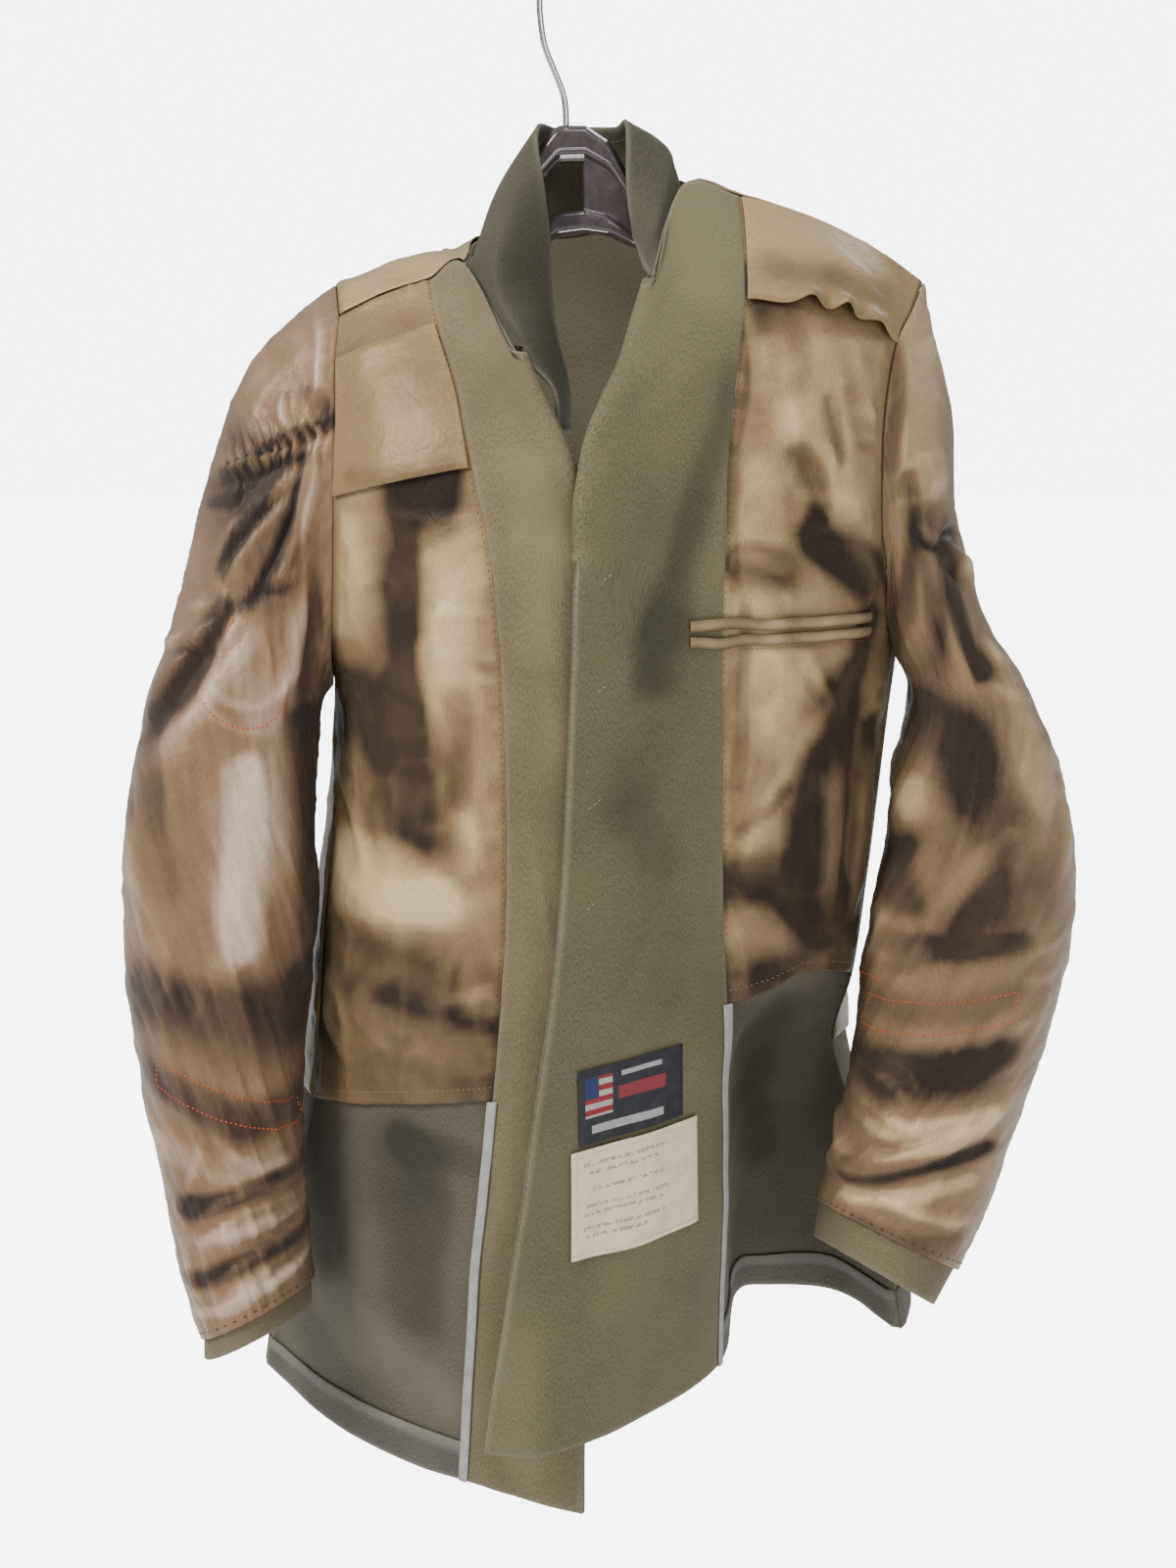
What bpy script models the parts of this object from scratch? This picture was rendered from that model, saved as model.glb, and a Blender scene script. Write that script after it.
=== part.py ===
# Service coat turned inside out, hanging on a hanger by its wire hook.
# Blender 4.5 script. Tables are in millimetres, objects are made in metres.
# X runs to the viewer's right, Y away from the viewer, Z up.
# The origin is the inside top of the hook, where a rail would touch it.
import math

import bmesh
import bpy
import numpy as np

MM = 0.001
WOOL = 2.0            # wall of one layer of serge
FACING = 1.5          # wall of the thinner serge of facing and hem turn-up
SATIN = 1.1           # wall of one layer of lining
COLLAR_WALL = 2.6     # two layers of serge, pressed
SLEEVE_WALL = 1.6     # wool and lining of a sleeve, taken as one wall
TAPE = 1.0            # wall of tapes and labels
WELT = 1.2
GAP = 0.35            # air left between two layers
ON_SHELL = WOOL + GAP                # where facing, lining and hem turn-up start
ON_LINING = ON_SHELL + FACING + GAP  # where flaps and tapes start
ON_WELT = ON_LINING + 0.2            # clear of the panel's bends between its points
ON_LABEL = ON_LINING + 0.7
SEAM_BACK = 1.3       # the back's top edge stands this far from the shoulder seam
FLAP_INSET = 2.0      # flaps keep this far inside the panel's edges
TURN_UP_INSET = 2.5   # the hem turn-up ends this far before the side seam
TAPE_HALF = 3.0       # half of the width of a seam tape
FACING_EASE = 0.6     # the facing lies this much looser over the lapel's fold
FOLD_EASE = 0.9       # and this much where the fold opens
TAPE_TOP = 1.5        # the seam tapes start this far below the lining's hem
SEAM_LIFT = 0.8       # the collar stands this far off the neck seam
SEAM_CLEAR = 4.5      # and this much more where its wall leans over the panel
LEAF_END = (5.5, 1.0, 1.5)           # first sewn point of the collar, clear of the lapel's corner
CUFF_GAP = 0.5        # air between a sleeve and the cuff in it
ARMHOLE_CLEAR = {"left": -0.8, "right": 1.7}    # the sleeves start this far out along X

# Strips made between one named row or column and the next. The lowest seven
# spans of the fronts and the back are alike, so that the side seams meet.
SKIRT_DOWN = (2, 2, 2, 1, 3, 3, 1)
LEFT_DOWN = (1, 1, 1, 1, 1, 1, 1) + SKIRT_DOWN
RIGHT_DOWN = (1, 1, 1, 1, 1, 2, 1) + SKIRT_DOWN
BACK_DOWN = (1, 2, 2, 3, 2) + SKIRT_DOWN
LEFT_ACROSS = (3, 3, 2, 3, 3, 3)
RIGHT_ACROSS = (3, 3, 2, 3, 3, 3, 3)
BACK_ACROSS = (4, 2, 2, 3, 3, 2, 2, 4)
SHOULDER_LEFT = (0, 2, 4, 6, 9, 10, 11)     # places on the front's top seam, from
SHOULDER_RIGHT = (0, 1, 2, 5, 8, 11, 14)    # left to right, that the back shares

# Front on the viewer's left. Columns: free edge, roll line, middle of the
# facing, outer edge of the facing, two places on the chest, armhole or side.
LEFT_COLUMNS = ("edge", "roll", "middle", "facing", "chest", "outer chest", "side")
FRONT_LEFT = [
    ("top seam", (-33, -66, -222), (-30, -86, -225), (-62, -28, -176), (-82, -30, -186),
     (-99, -32, -191), (-117, -33, -198), (-135, -28, -206)),
    ("gorge", (-27, -79, -243), (-21, -98, -244), (-50, -74, -222), (-75, -54, -212),
     (-95, -55, -218), (-115, -52, -224), (-136, -42, -231)),
    ("collar tip", (-20, -92, -263), (-11, -110, -264), (-37, -97, -257), (-62, -82, -249),
     (-86, -80, -255), (-110, -73, -260), (-135, -54, -268)),
    ("flap edge", (-4, -104, -291), (-1, -119, -291), (-27, -111, -291), (-54, -103, -290),
     (-82, -99, -295), (-108, -89, -301), (-136, -60, -308)),
    ("roll end", (6, -108, -320), (6, -118, -321), (-18, -115, -321), (-47, -110, -321),
     (-77, -104, -324), (-107, -91, -328), (-137, -58, -335)),
    ("break", (12, -126, -339), (4, -127, -340), (-20, -121, -341), (-43, -115, -341),
     (-74, -108, -344), (-106, -93, -348), (-138, -55, -355)),
    ("chest", (12, -130, -371), (-6, -130, -372), (-24, -126, -373), (-40, -121, -374),
     (-71, -113, -378), (-104, -95, -383), (-141, -44, -392)),
    ("underarm", (12, -133, -405), (-5, -134, -406), (-21, -130, -408), (-37, -125, -409),
     (-69, -116, -414), (-103, -93, -421), (-143, -17, -428)),
    ("above waist", (11, -140, -464), (-6, -141, -466), (-21, -137, -468), (-35, -132, -470),
     (-70, -121, -476), (-107, -96, -486), (-143, -36, -500)),
    ("waist", (10, -146, -515), (-6, -147, -517), (-21, -143, -519), (-35, -137, -520),
     (-72, -125, -528), (-113, -97, -540), (-149, -42, -561)),
    ("hip", (10, -148, -598), (-8, -150, -601), (-24, -147, -606), (-40, -141, -612),
     (-79, -123, -621), (-120, -90, -634), (-157, -40, -656)),
    ("lining hem", (9, -148, -640), (-10, -151, -642), (-27, -148, -645), (-43, -141, -648),
     (-83, -120, -658), (-123, -85, -671), (-161, -34, -686)),
    ("skirt", (8, -151, -764), (-16, -151, -765), (-36, -146, -767), (-54, -137, -769),
     (-95, -107, -770), (-141, -60, -772), (-184, 2, -775)),
    ("turn-up", (8, -162, -872), (-18, -154, -871), (-41, -143, -870), (-61, -132, -870),
     (-103, -99, -874), (-153, -47, -878), (-206, 34, -885)),
    ("hem", (8, -165, -897), (-18, -155, -896), (-42, -144, -895), (-63, -131, -895),
     (-105, -98, -900), (-155, -45, -903), (-210, 40, -907)),
]

# Front on the viewer's right, lying over the other one. One more column
# stands in the deep fold of the skirt.
RIGHT_COLUMNS = ("edge", "roll", "middle", "facing", "chest", "outer chest", "fold", "side")
FRONT_RIGHT = [
    ("top seam", (51, -50, -180), (46, -68, -182), (66, -12, -130), (98, -8, -137),
     (123, -6, -143), (151, -3, -153), (180, 0, -167), (209, -4, -186)),
    ("gorge", (44, -68, -205), (40, -82, -205), (70, -58, -176), (99, -45, -166),
     (121, -45, -172), (146, -42, -178), (172, -34, -188), (198, -24, -204)),
    ("flap edge", (39, -83, -228), (33, -98, -228), (66, -86, -212), (98, -74, -199),
     (120, -75, -201), (142, -69, -204), (165, -59, -211), (187, -42, -221)),
    ("lapel", (30, -96, -251), (22, -113, -252), (58, -103, -246), (92, -88, -243),
     (117, -86, -246), (140, -80, -250), (162, -69, -254), (180, -53, -260)),
    ("low lapel", (20, -111, -278), (12, -125, -278), (50, -113, -280), (88, -96, -281),
     (115, -93, -284), (139, -85, -286), (160, -73, -289), (179, -56, -293)),
    ("roll end", (8, -130, -330), (9, -137, -330), (48, -119, -333), (86, -100, -336),
     (114, -95, -339), (140, -85, -342), (163, -71, -346), (184, -46, -352)),
    ("break", (4, -140, -341), (12, -138, -341), (50, -120, -345), (85, -101, -348),
     (114, -95, -351), (140, -84, -354), (164, -70, -358), (188, -36, -366)),
    ("underarm", (1, -148, -390), (29, -135, -391), (57, -119, -393), (84, -102, -395),
     (115, -93, -396), (142, -80, -398), (168, -60, -399), (198, -6, -400)),
    ("ribs", (0, -153, -425), (29, -139, -428), (57, -121, -430), (85, -102, -432),
     (115, -92, -434), (142, -79, -436), (168, -57, -438), (193, -12, -442)),
    ("waist", (-5, -165, -513), (29, -147, -518), (58, -126, -523), (87, -104, -529),
     (114, -93, -532), (139, -78, -536), (162, -55, -542), (182, -16, -550)),
    ("lining hem", (-12, -172, -588), (26, -150, -592), (58, -128, -597), (90, -103, -601),
     (115, -91, -596), (137, -78, -588), (157, -58, -594), (174, -24, -606)),
    ("fold start", (-20, -176, -640), (18, -154, -645), (52, -130, -650), (89, -99, -655),
     (102, -44, -650), (124, -18, -650), (147, -8, -654), (167, 4, -660)),
    ("skirt", (-32, -181, -725), (4, -162, -731), (46, -136, -738), (90, -90, -745),
     (104, -4, -746), (130, 26, -748), (166, 34, -750), (199, 10, -755)),
    ("turn-up", (-46, -182, -824), (-11, -182, -824), (40, -142, -824), (89, -79, -824),
     (106, 20, -825), (133, 42, -827), (178, 40, -828), (212, -12, -830)),
    ("hem", (-49, -182, -848), (-13, -184, -848), (38, -144, -848), (89, -76, -848),
     (107, 26, -849), (135, 46, -851), (183, 38, -852), (216, -17, -854)),
]

# Back, from the left side round to the right side. In the first rows the
# middle columns run along the neck; the outer ones are the armhole edges.
BACK_COLUMNS = ("left side", "left blade", "left neck", "left nape", "nape",
                "right nape", "right neck", "right blade", "right side")
BACK = [
    ("shoulder seam", (-135, -28, -206), (-99, -32, -191), (-62, -28, -176), (-52, 28, -157),
     (8, 58, -152), (62, 28, -134), (66, -12, -130), (136, -4, -147), (209, -4, -186)),
    ("shoulder top", (-141, 4, -188), (-108, 6, -176), (-82, 12, -170), (-66, 40, -170),
     (8, 72, -168), (74, 44, -147), (83, 10, -135), (141, 20, -152), (211, 14, -188)),
    ("blade top", (-149, 38, -222), (-119, 46, -207), (-90, 56, -199), (-56, 72, -199),
     (8, 88, -205), (72, 74, -190), (106, 54, -174), (153, 52, -180), (215, 38, -216)),
    ("blade", (-150, 58, -298), (-120, 80, -298), (-86, 96, -298), (-45, 105, -298),
     (8, 109, -298), (60, 105, -293), (106, 95, -288), (157, 80, -288), (212, 54, -292)),
    ("back", (-146, 44, -384), (-124, 84, -386), (-88, 102, -386), (-44, 112, -386),
     (8, 115, -385), (60, 112, -382), (108, 101, -378), (158, 84, -372), (207, 42, -364)),
    ("underarm", (-143, -17, -428), (-141, 54, -432), (-106, 96, -432), (-50, 114, -430),
     (10, 118, -428), (70, 114, -425), (130, 98, -418), (186, 60, -408), (198, -6, -400)),
    ("above waist", (-143, -36, -500), (-150, 44, -500), (-112, 94, -500), (-52, 112, -498),
     (10, 116, -494), (71, 112, -488), (130, 96, -478), (184, 52, -462), (193, -12, -442)),
    ("waist", (-149, -42, -561), (-160, 40, -561), (-122, 94, -561), (-55, 112, -560),
     (10, 116, -558), (75, 112, -556), (132, 96, -554), (177, 52, -552), (182, -16, -550)),
    ("hip", (-157, -40, -656), (-176, 40, -652), (-132, 96, -650), (-60, 114, -646),
     (10, 120, -640), (80, 116, -634), (138, 98, -624), (175, 58, -614), (174, -24, -606)),
    ("lining hem", (-161, -34, -686), (-182, 44, -690), (-138, 98, -695), (-62, 116, -693),
     (10, 122, -690), (84, 118, -684), (142, 100, -677), (180, 64, -668), (167, 4, -660)),
    ("skirt", (-184, 2, -775), (-197, 56, -776), (-150, 104, -779), (-72, 120, -779),
     (12, 125, -776), (95, 119, -771), (160, 98, -766), (207, 58, -760), (199, 10, -755)),
    ("turn-up", (-206, 34, -885), (-203, 70, -876), (-163, 107, -861), (-79, 123, -857),
     (14, 126, -851), (104, 118, -844), (174, 92, -836), (223, 48, -830), (212, -12, -830)),
    ("hem", (-210, 40, -907), (-205, 72, -898), (-165, 108, -885), (-80, 124, -881),
     (14, 126, -875), (105, 118, -868), (175, 92, -860), (226, 48, -854), (216, -17, -854)),
]

# Collar, station by station round the neck from its left point.
# Columns: seam to the coat, crown, free edge of the leaf.
COLLAR = [
    ("left point", (-5, -98, -267), (-2, -84, -268), (1, -62, -270)),
    ("left leaf", (-8, -92, -246), (-5, -79, -246), (0, -56, -246)),
    ("left gorge", (-30, -86, -225), (-26, -82, -214), (-8, -49, -214)),
    ("left front", (-46, -57, -201), (-41, -69, -190), (-11, -41, -186)),
    ("left turn", (-57, -38, -185), (-43, -62, -167), (-12, -35, -160)),
    ("left neck", (-62, -28, -176), (-42, -46, -148), (-15, -26, -134)),
    ("left side", (-64, 5, -161), (-45, 0, -130), (-21, -7, -96)),
    ("left nape", (-33, 47, -153), (-25, 44, -118), (-8, 34, -91)),
    ("nape", (8, 58, -152), (10, 60, -120), (10, 48, -89)),
    ("right nape", (50, 44, -139), (45, 42, -110), (27, 33, -90)),
    ("right side", (67, 6, -128), (59, 0, -108), (33, -6, -92)),
    ("right neck", (60, -34, -148), (52, -33, -139), (33, -27, -132)),
    ("right gorge", (46, -68, -182), (41, -62, -174), (36, -44, -160)),
]

# Sleeves, ring by ring. Columns: outer point (x, z), inner point (x, z),
# depth of the ring's middle, half of the ring's depth.
SLEEVE_LEFT = [
    ("crown", (-188, -224), (-155, -434), -2, 57),
    ("shoulder", (-220, -295), (-157, -444), -8, 59),
    ("pleats", (-237, -363), (-157, -458), -18, 61),
    ("upper arm", (-258, -430), (-157, -478), -28, 63),
    ("above elbow", (-270, -490), (-158, -508), -38, 65),
    ("elbow", (-275, -548), (-157, -552), -44, 66),
    ("below elbow", (-273, -607), (-162, -600), -50, 64),
    ("forearm", (-266, -667), (-166, -655), -56, 61),
    ("lower forearm", (-252, -730), (-168, -710), -64, 58),
    ("wrist", (-241, -784), (-165, -757), -76, 55),
    ("lining end", (-228, -822), (-162, -789), -84, 53),
]
SLEEVE_RIGHT = [
    ("crown", (224, -246), (206, -409), -2, 56),
    ("shoulder", (232, -310), (208, -417), -6, 58),
    ("upper arm", (252, -380), (209, -428), -12, 60),
    ("tuck", (281, -430), (207, -450), -20, 62),
    ("above elbow", (302, -488), (198, -500), -28, 64),
    ("elbow", (310, -548), (190, -550), -34, 64),
    ("below elbow", (304, -607), (181, -605), -40, 62),
    ("forearm", (291, -655), (177, -648), -46, 60),
    ("lower forearm", (274, -700), (168, -690), -56, 58),
    ("wrist", (258, -744), (159, -720), -66, 56),
    ("lining end", (238, -783), (153, -740), -75, 54),
]
CUFF_END_LEFT = ("end", (-226, -834), (-163, -804), -87, 50)
CUFF_END_RIGHT = ("end", (222, -803), (152, -761), -82, 51)
AROUND = 22           # sides of a sleeve

# Hanger, from its left end to its right end.
# Columns: x, top, bottom, half of the thickness of the top bar.
HANGER = [
    (-187, -230, -242, 6.5), (-172, -219, -237, 6.5), (-150, -204, -224, 6.2),
    (-122, -190, -211, 5.8), (-92, -180, -203, 5.5), (-68, -174, -199, 5.2),
    (-46, -162, -192, 5.2), (-30, -134, -173, 5.2), (-17, -106, -161, 5.2),
    (-8, -95, -155, 5.2), (8, -95, -153, 5.2), (22, -104, -155, 5.2),
    (36, -128, -161, 5.2), (58, -140, -168, 5.2), (92, -143, -169, 5.4),
    (130, -152, -175, 5.6), (164, -164, -184, 5.8), (190, -179, -195, 6.0), (203, -186.6, -200, 6.0),
]
HANGER_RIBS = ((0.0, 0.7), (0.05, 1.0), (0.24, 1.0), (0.30, 0.38),
               (0.78, 0.38), (0.84, 0.85), (0.95, 0.85), (1.0, 0.6))
HANGER_WINDOW = ((8, 10), (3, 4))   # cells left open under the hook: columns, rows

HOOK_RADIUS = 1.9
HOOK_SIDES = 10
HOOK = [
    (-3, -94.2), (-3, -88), (-4.5, -76), (-10, -62), (-15.5, -48), (-17.8, -34),
    (-18.4, -24), (-17.6, -13.5), (-13.5, -4.5), (-7, 0.4), (0, 1.9), (7, 0.4),
    (13.5, -4.5), (17.4, -12), (18.6, -18.5),
]

# Colours by material: red, green, blue, roughness.
MATERIALS = {
    "serge": (0.105, 0.098, 0.058, 0.9),
    "serge facing": (0.13, 0.112, 0.07, 0.88),
    "satin": (0.21, 0.165, 0.115, 0.42),
    "tape": (0.3, 0.29, 0.26, 0.8),
    "dark label": (0.02, 0.02, 0.024, 0.5),
    "cream label": (0.62, 0.56, 0.44, 0.6),
    "dark plastic": (0.03, 0.022, 0.024, 0.15),
    "bright wire": (0.6, 0.6, 0.6, 0.2),
}


def clear():
    for item in list(bpy.data.objects):
        bpy.data.objects.remove(item, do_unlink=True)


def material(name):
    found = bpy.data.materials.get(name)
    if found:
        return found
    red, green, blue, rough = MATERIALS[name]
    made = bpy.data.materials.new(name)
    made.use_nodes = True
    shader = made.node_tree.nodes["Principled BSDF"]
    shader.inputs["Base Color"].default_value = (red, green, blue, 1)
    shader.inputs["Roughness"].default_value = rough
    shader.inputs["Metallic"].default_value = 1.0 if name == "bright wire" else 0.0
    return made


def build(name, points, faces, kind):
    """One closed body from points in millimetres; its faces end up outward."""
    mesh = bpy.data.meshes.new(name)
    mesh.from_pydata((np.asarray(points, float) * MM).tolist(), [], faces)
    work = bmesh.new()
    work.from_mesh(mesh)
    if work.calc_volume(signed=True) < 0:
        bmesh.ops.reverse_faces(work, faces=work.faces)
    work.to_mesh(mesh)
    work.free()
    mesh.materials.append(material(kind))
    item = bpy.data.objects.new(name, mesh)
    bpy.context.collection.objects.link(item)
    return item


def length_knots(grid):
    """Mean running length from row to row of a grid."""
    steps = np.linalg.norm(np.diff(grid, axis=0), axis=-1)
    steps = steps.reshape(len(steps), -1).mean(axis=1)
    return np.concatenate([[0.0], np.cumsum(steps)])


def smooth(values, knots, places):
    """Cubic through values at knots, its slopes taken from the neighbours."""
    values = np.asarray(values, float)
    shape = (-1,) + (1,) * (values.ndim - 1)
    step = np.diff(knots)
    slope = np.diff(values, axis=0) / step.reshape(shape)
    tangent = np.empty_like(values)
    before = step[:-1].reshape(shape)
    after = step[1:].reshape(shape)
    tangent[1:-1] = (slope[:-1] * after + slope[1:] * before) / (before + after)
    tangent[0] = slope[0]
    tangent[-1] = slope[-1]
    cell = np.clip(np.searchsorted(knots, places, side="right") - 1, 0, len(step) - 1)
    t = ((places - knots[cell]) / step[cell]).reshape(shape)
    h = step[cell].reshape(shape)
    return ((2 * t**3 - 3 * t**2 + 1) * values[cell] + (t**3 - 2 * t**2 + t) * h * tangent[cell]
            + (3 * t**2 - 2 * t**3) * values[cell + 1] + (t**3 - t**2) * h * tangent[cell + 1])


def between(knots, strips):
    """Every knot, and the places that split each span into its strips."""
    spans = [a + (b - a) * np.arange(n) / n for a, b, n in zip(knots[:-1], knots[1:], strips)]
    return np.concatenate(spans + [knots[-1:]])


def panel(table, down, across):
    """A table of rows of points, made finer both ways."""
    grid = np.array([row[1:] for row in table], float)
    rows = length_knots(grid)
    grid = smooth(grid, rows, between(rows, down))
    turned = grid.transpose(1, 0, 2)
    columns = np.arange(len(turned), dtype=float)
    turned = smooth(turned, columns, between(columns, across))
    return turned.transpose(1, 0, 2)


def corners_of(rows, columns):
    """The two triangles of every cell of a grid, as indices."""
    index = np.arange(rows * columns).reshape(rows, columns)
    a, b = index[:-1, :-1].ravel(), index[:-1, 1:].ravel()
    d, e = index[1:, :-1].ravel(), index[1:, 1:].ravel()
    return np.concatenate([np.stack([a, d, e], 1), np.stack([a, e, b], 1)])


def outward(grid, side):
    """Unit normals of a grid from the triangles round each point; side is 1 or -1."""
    corners = corners_of(*grid.shape[:2])
    points = grid.reshape(-1, 3)
    p, q, r = (points[corners[:, i]] for i in range(3))
    faces = np.cross(q - p, r - p)
    normal = np.zeros_like(points)
    for i in range(3):
        np.add.at(normal, corners[:, i], faces)
    normal = normal.reshape(grid.shape) * side
    return normal / np.linalg.norm(normal, axis=-1, keepdims=True)


def trim(grid, normal, top=0.0, bottom=0.0, start=0.0, end=0.0):
    """Move the borders of a grid in along its own lines, the normals with them."""
    grid, normal = grid.copy(), normal.copy()
    for border, inner, amount in (((0, slice(None)), (1, slice(None)), top),
                                  ((-1, slice(None)), (-2, slice(None)), bottom),
                                  ((slice(None), 0), (slice(None), 1), start),
                                  ((slice(None), -1), (slice(None), -2), end)):
        if amount:
            way = grid[inner] - grid[border]
            share = amount / np.linalg.norm(way, axis=-1, keepdims=True)
            grid[border] += way * share
            normal[border] += (normal[inner] - normal[border]) * share
    return grid, normal / np.linalg.norm(normal, axis=-1, keepdims=True)


def cloth(name, grid, normal, low, high, kind, open_cells=()):
    """A sheet of cloth: the grid moved out to low and to high, closed by a rim."""
    rows, columns = grid.shape[:2]
    layers = [grid + normal * low, grid + normal * high]
    points = np.concatenate([layer.reshape(-1, 3) for layer in layers])
    top = rows * columns
    faces = []
    edges = {}
    for r in range(rows - 1):
        for c in range(columns - 1):
            if (r, c) in open_cells:
                continue
            a = r * columns + c
            b, d, e = a + 1, a + columns, a + columns + 1
            for corner in ((a, d, e), (a, e, b)):
                faces.append(corner)
                faces.append(tuple(top + i for i in reversed(corner)))
            for edge in ((a, d), (d, e), (e, b), (b, a)):
                if edge[::-1] in edges:
                    del edges[edge[::-1]]
                else:
                    edges[edge] = True
    for p, q in edges:
        faces.append((q, p, top + p))
        faces.append((q, top + p, top + q))
    return build(name, points, faces, kind)


def inset(rings, amount):
    """The rings of a tube moved in, square to its wall."""
    along = np.gradient(rings, axis=0)
    around = np.roll(rings, -1, axis=1) - np.roll(rings, 1, axis=1)
    normal = np.cross(along, around)
    normal /= np.linalg.norm(normal, axis=-1, keepdims=True)
    centre = rings.mean(axis=1, keepdims=True)
    inward = 1.0 if ((centre - rings) * normal).sum() > 0 else -1.0
    return rings + normal * inward * amount


def tube_wall(name, rings, wall, kind):
    """A tube open at both ends: rings outside, the same rings moved in by the wall."""
    count, sides = rings.shape[:2]
    inner = inset(rings, wall)
    points = np.concatenate([rings.reshape(-1, 3), inner.reshape(-1, 3)])
    half = count * sides
    faces = []
    for r in range(count - 1):
        for s in range(sides):
            t = (s + 1) % sides
            a, b, d, e = r * sides + s, r * sides + t, (r + 1) * sides + s, (r + 1) * sides + t
            for corner in ((a, b, e), (a, e, d)):
                faces.append(corner)
                faces.append(tuple(half + i for i in reversed(corner)))
    last = (count - 1) * sides
    for s in range(sides):
        t = (s + 1) % sides
        faces += [(t, s, half + s), (t, half + s, half + t)]
        faces += [(last + s, last + t, half + last + t), (last + s, half + last + t, half + last + s)]
    return build(name, points, faces, kind)


def rod(name, path, radius, sides, kind):
    """A round bar along a path, closed at both ends by a small dome."""
    path = np.asarray(path, float)
    ways = np.gradient(path, axis=0)
    ways /= np.linalg.norm(ways, axis=1, keepdims=True)
    side = np.array([0.0, 1.0, 0.0])
    turns = np.arange(sides) * 2 * math.pi / sides
    rings = []
    for i, (place, way) in enumerate(zip(path, ways)):
        other = np.cross(way, side)
        size = radius * (0.6 if i in (0, len(path) - 1) else 1.0)
        rings.append(place + size * (np.outer(np.cos(turns), side) + np.outer(np.sin(turns), other)))
    points = np.concatenate(rings)
    faces = []
    for r in range(len(path) - 1):
        for s in range(sides):
            t = (s + 1) % sides
            a, b, d, e = r * sides + s, r * sides + t, (r + 1) * sides + s, (r + 1) * sides + t
            faces += [(a, d, e), (a, e, b)]
    last = (len(path) - 1) * sides
    for s in range(1, sides - 1):
        faces += [(0, s, s + 1), (last, last + s + 1, last + s)]
    return build(name, points, faces, kind)


def read_line(line, values, share):
    """Values given along a line, read at shares of its length."""
    run = length_knots(line[:, None])
    return np.stack([np.interp(share * run[-1], run, values[:, i]) for i in range(3)], axis=-1)


def laid(grid, normal, spots):
    """Places (x, z) carried onto the near face of a panel: points and normals."""
    corners = corners_of(*grid.shape[:2])
    points, ways = grid.reshape(-1, 3), normal.reshape(-1, 3)
    flat = points[:, [0, 2]]
    p0, p1, p2 = (flat[corners[:, i]] for i in range(3))
    area = (p1[:, 0] - p0[:, 0]) * (p2[:, 1] - p0[:, 1]) - (p2[:, 0] - p0[:, 0]) * (p1[:, 1] - p0[:, 1])
    area = np.where(np.abs(area) < 1e-9, 1e-9, area)
    found, turned = [], []
    for x, z in spots:
        w1 = ((x - p0[:, 0]) * (p2[:, 1] - p0[:, 1]) - (p2[:, 0] - p0[:, 0]) * (z - p0[:, 1])) / area
        w2 = ((p1[:, 0] - p0[:, 0]) * (z - p0[:, 1]) - (x - p0[:, 0]) * (p1[:, 1] - p0[:, 1])) / area
        w = np.stack([1 - w1 - w2, w1, w2], 1)
        inside = np.where(w.min(axis=1) > -1e-6)[0]
        if len(inside) == 0:
            raise ValueError("no panel under x=%.1f z=%.1f" % (x, z))
        place = (w[inside, :, None] * points[corners[inside]]).sum(axis=1)
        best = np.argmin(place[:, 1])
        way = (w[inside[best], :, None] * ways[corners[inside[best]]]).sum(axis=0)
        found.append(place[best])
        turned.append(way / np.linalg.norm(way))
    return np.array(found), np.array(turned)


def patch(name, grid, normal, corners, cells, low, high, kind):
    """A four-cornered piece laid on a panel; corners are (x, z), clockwise."""
    (ax, az), (bx, bz), (cx, cz), (dx, dz) = corners
    rows, columns = cells[0] + 1, cells[1] + 1
    v, u = np.meshgrid(np.linspace(0, 1, rows), np.linspace(0, 1, columns), indexing="ij")
    x = (1 - v) * ((1 - u) * ax + u * bx) + v * ((1 - u) * dx + u * cx)
    z = (1 - v) * ((1 - u) * az + u * bz) + v * ((1 - u) * dz + u * cz)
    places, ways = laid(grid, normal, np.stack([x.ravel(), z.ravel()], 1))
    shape = (rows, columns, 3)
    return cloth(name, places.reshape(shape), ways.reshape(shape), low, high, kind)


def rings_of(table, sides):
    """Sleeve rings: ellipses square to the run of the sleeve in depth."""
    outer = np.array([(row[1][0], row[3], row[1][1]) for row in table], float)
    inner = np.array([(row[2][0], row[3], row[2][1]) for row in table], float)
    half = np.array([row[4] for row in table], float)
    centre = (outer + inner) / 2
    run = np.gradient(centre, axis=0)
    front = np.cross(run, outer - centre)
    front *= np.where(front[:, 1:2] > 0, -1, 1)
    front *= (half / np.linalg.norm(front, axis=1))[:, None]
    turns = np.arange(sides) * 2 * math.pi / sides
    return (centre[:, None] + np.cos(turns)[None, :, None] * (outer - centre)[:, None]
            + np.sin(turns)[None, :, None] * front[:, None])


def armhole(front_edge, back_edge, sides, clear_x):
    """The armhole loop, read at even turns: top, front, underarm, back."""
    loop = np.concatenate([front_edge, back_edge[::-1]])
    top, bottom = loop[:, 2].max(), loop[:, 2].min()
    centre = np.array([0.0, (loop[:, 1].max() + loop[:, 1].min()) / 2, (top + bottom) / 2])
    half_y = (loop[:, 1].max() - loop[:, 1].min()) / 2
    half_z = (top - bottom) / 2
    angle = np.arctan2(-(loop[:, 1] - centre[1]) / half_y, (loop[:, 2] - centre[2]) / half_z) % (2 * math.pi)
    order = np.argsort(angle)
    angle, loop = angle[order], loop[order]
    angle = np.concatenate([angle[-1:] - 2 * math.pi, angle, angle[:1] + 2 * math.pi])
    loop = np.concatenate([loop[-1:], loop, loop[:1]])
    turns = np.arange(sides) * 2 * math.pi / sides
    place = np.stack([np.interp(turns, angle, loop[:, i]) for i in range(3)], axis=-1)
    place[:, 0] += clear_x
    return place


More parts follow.
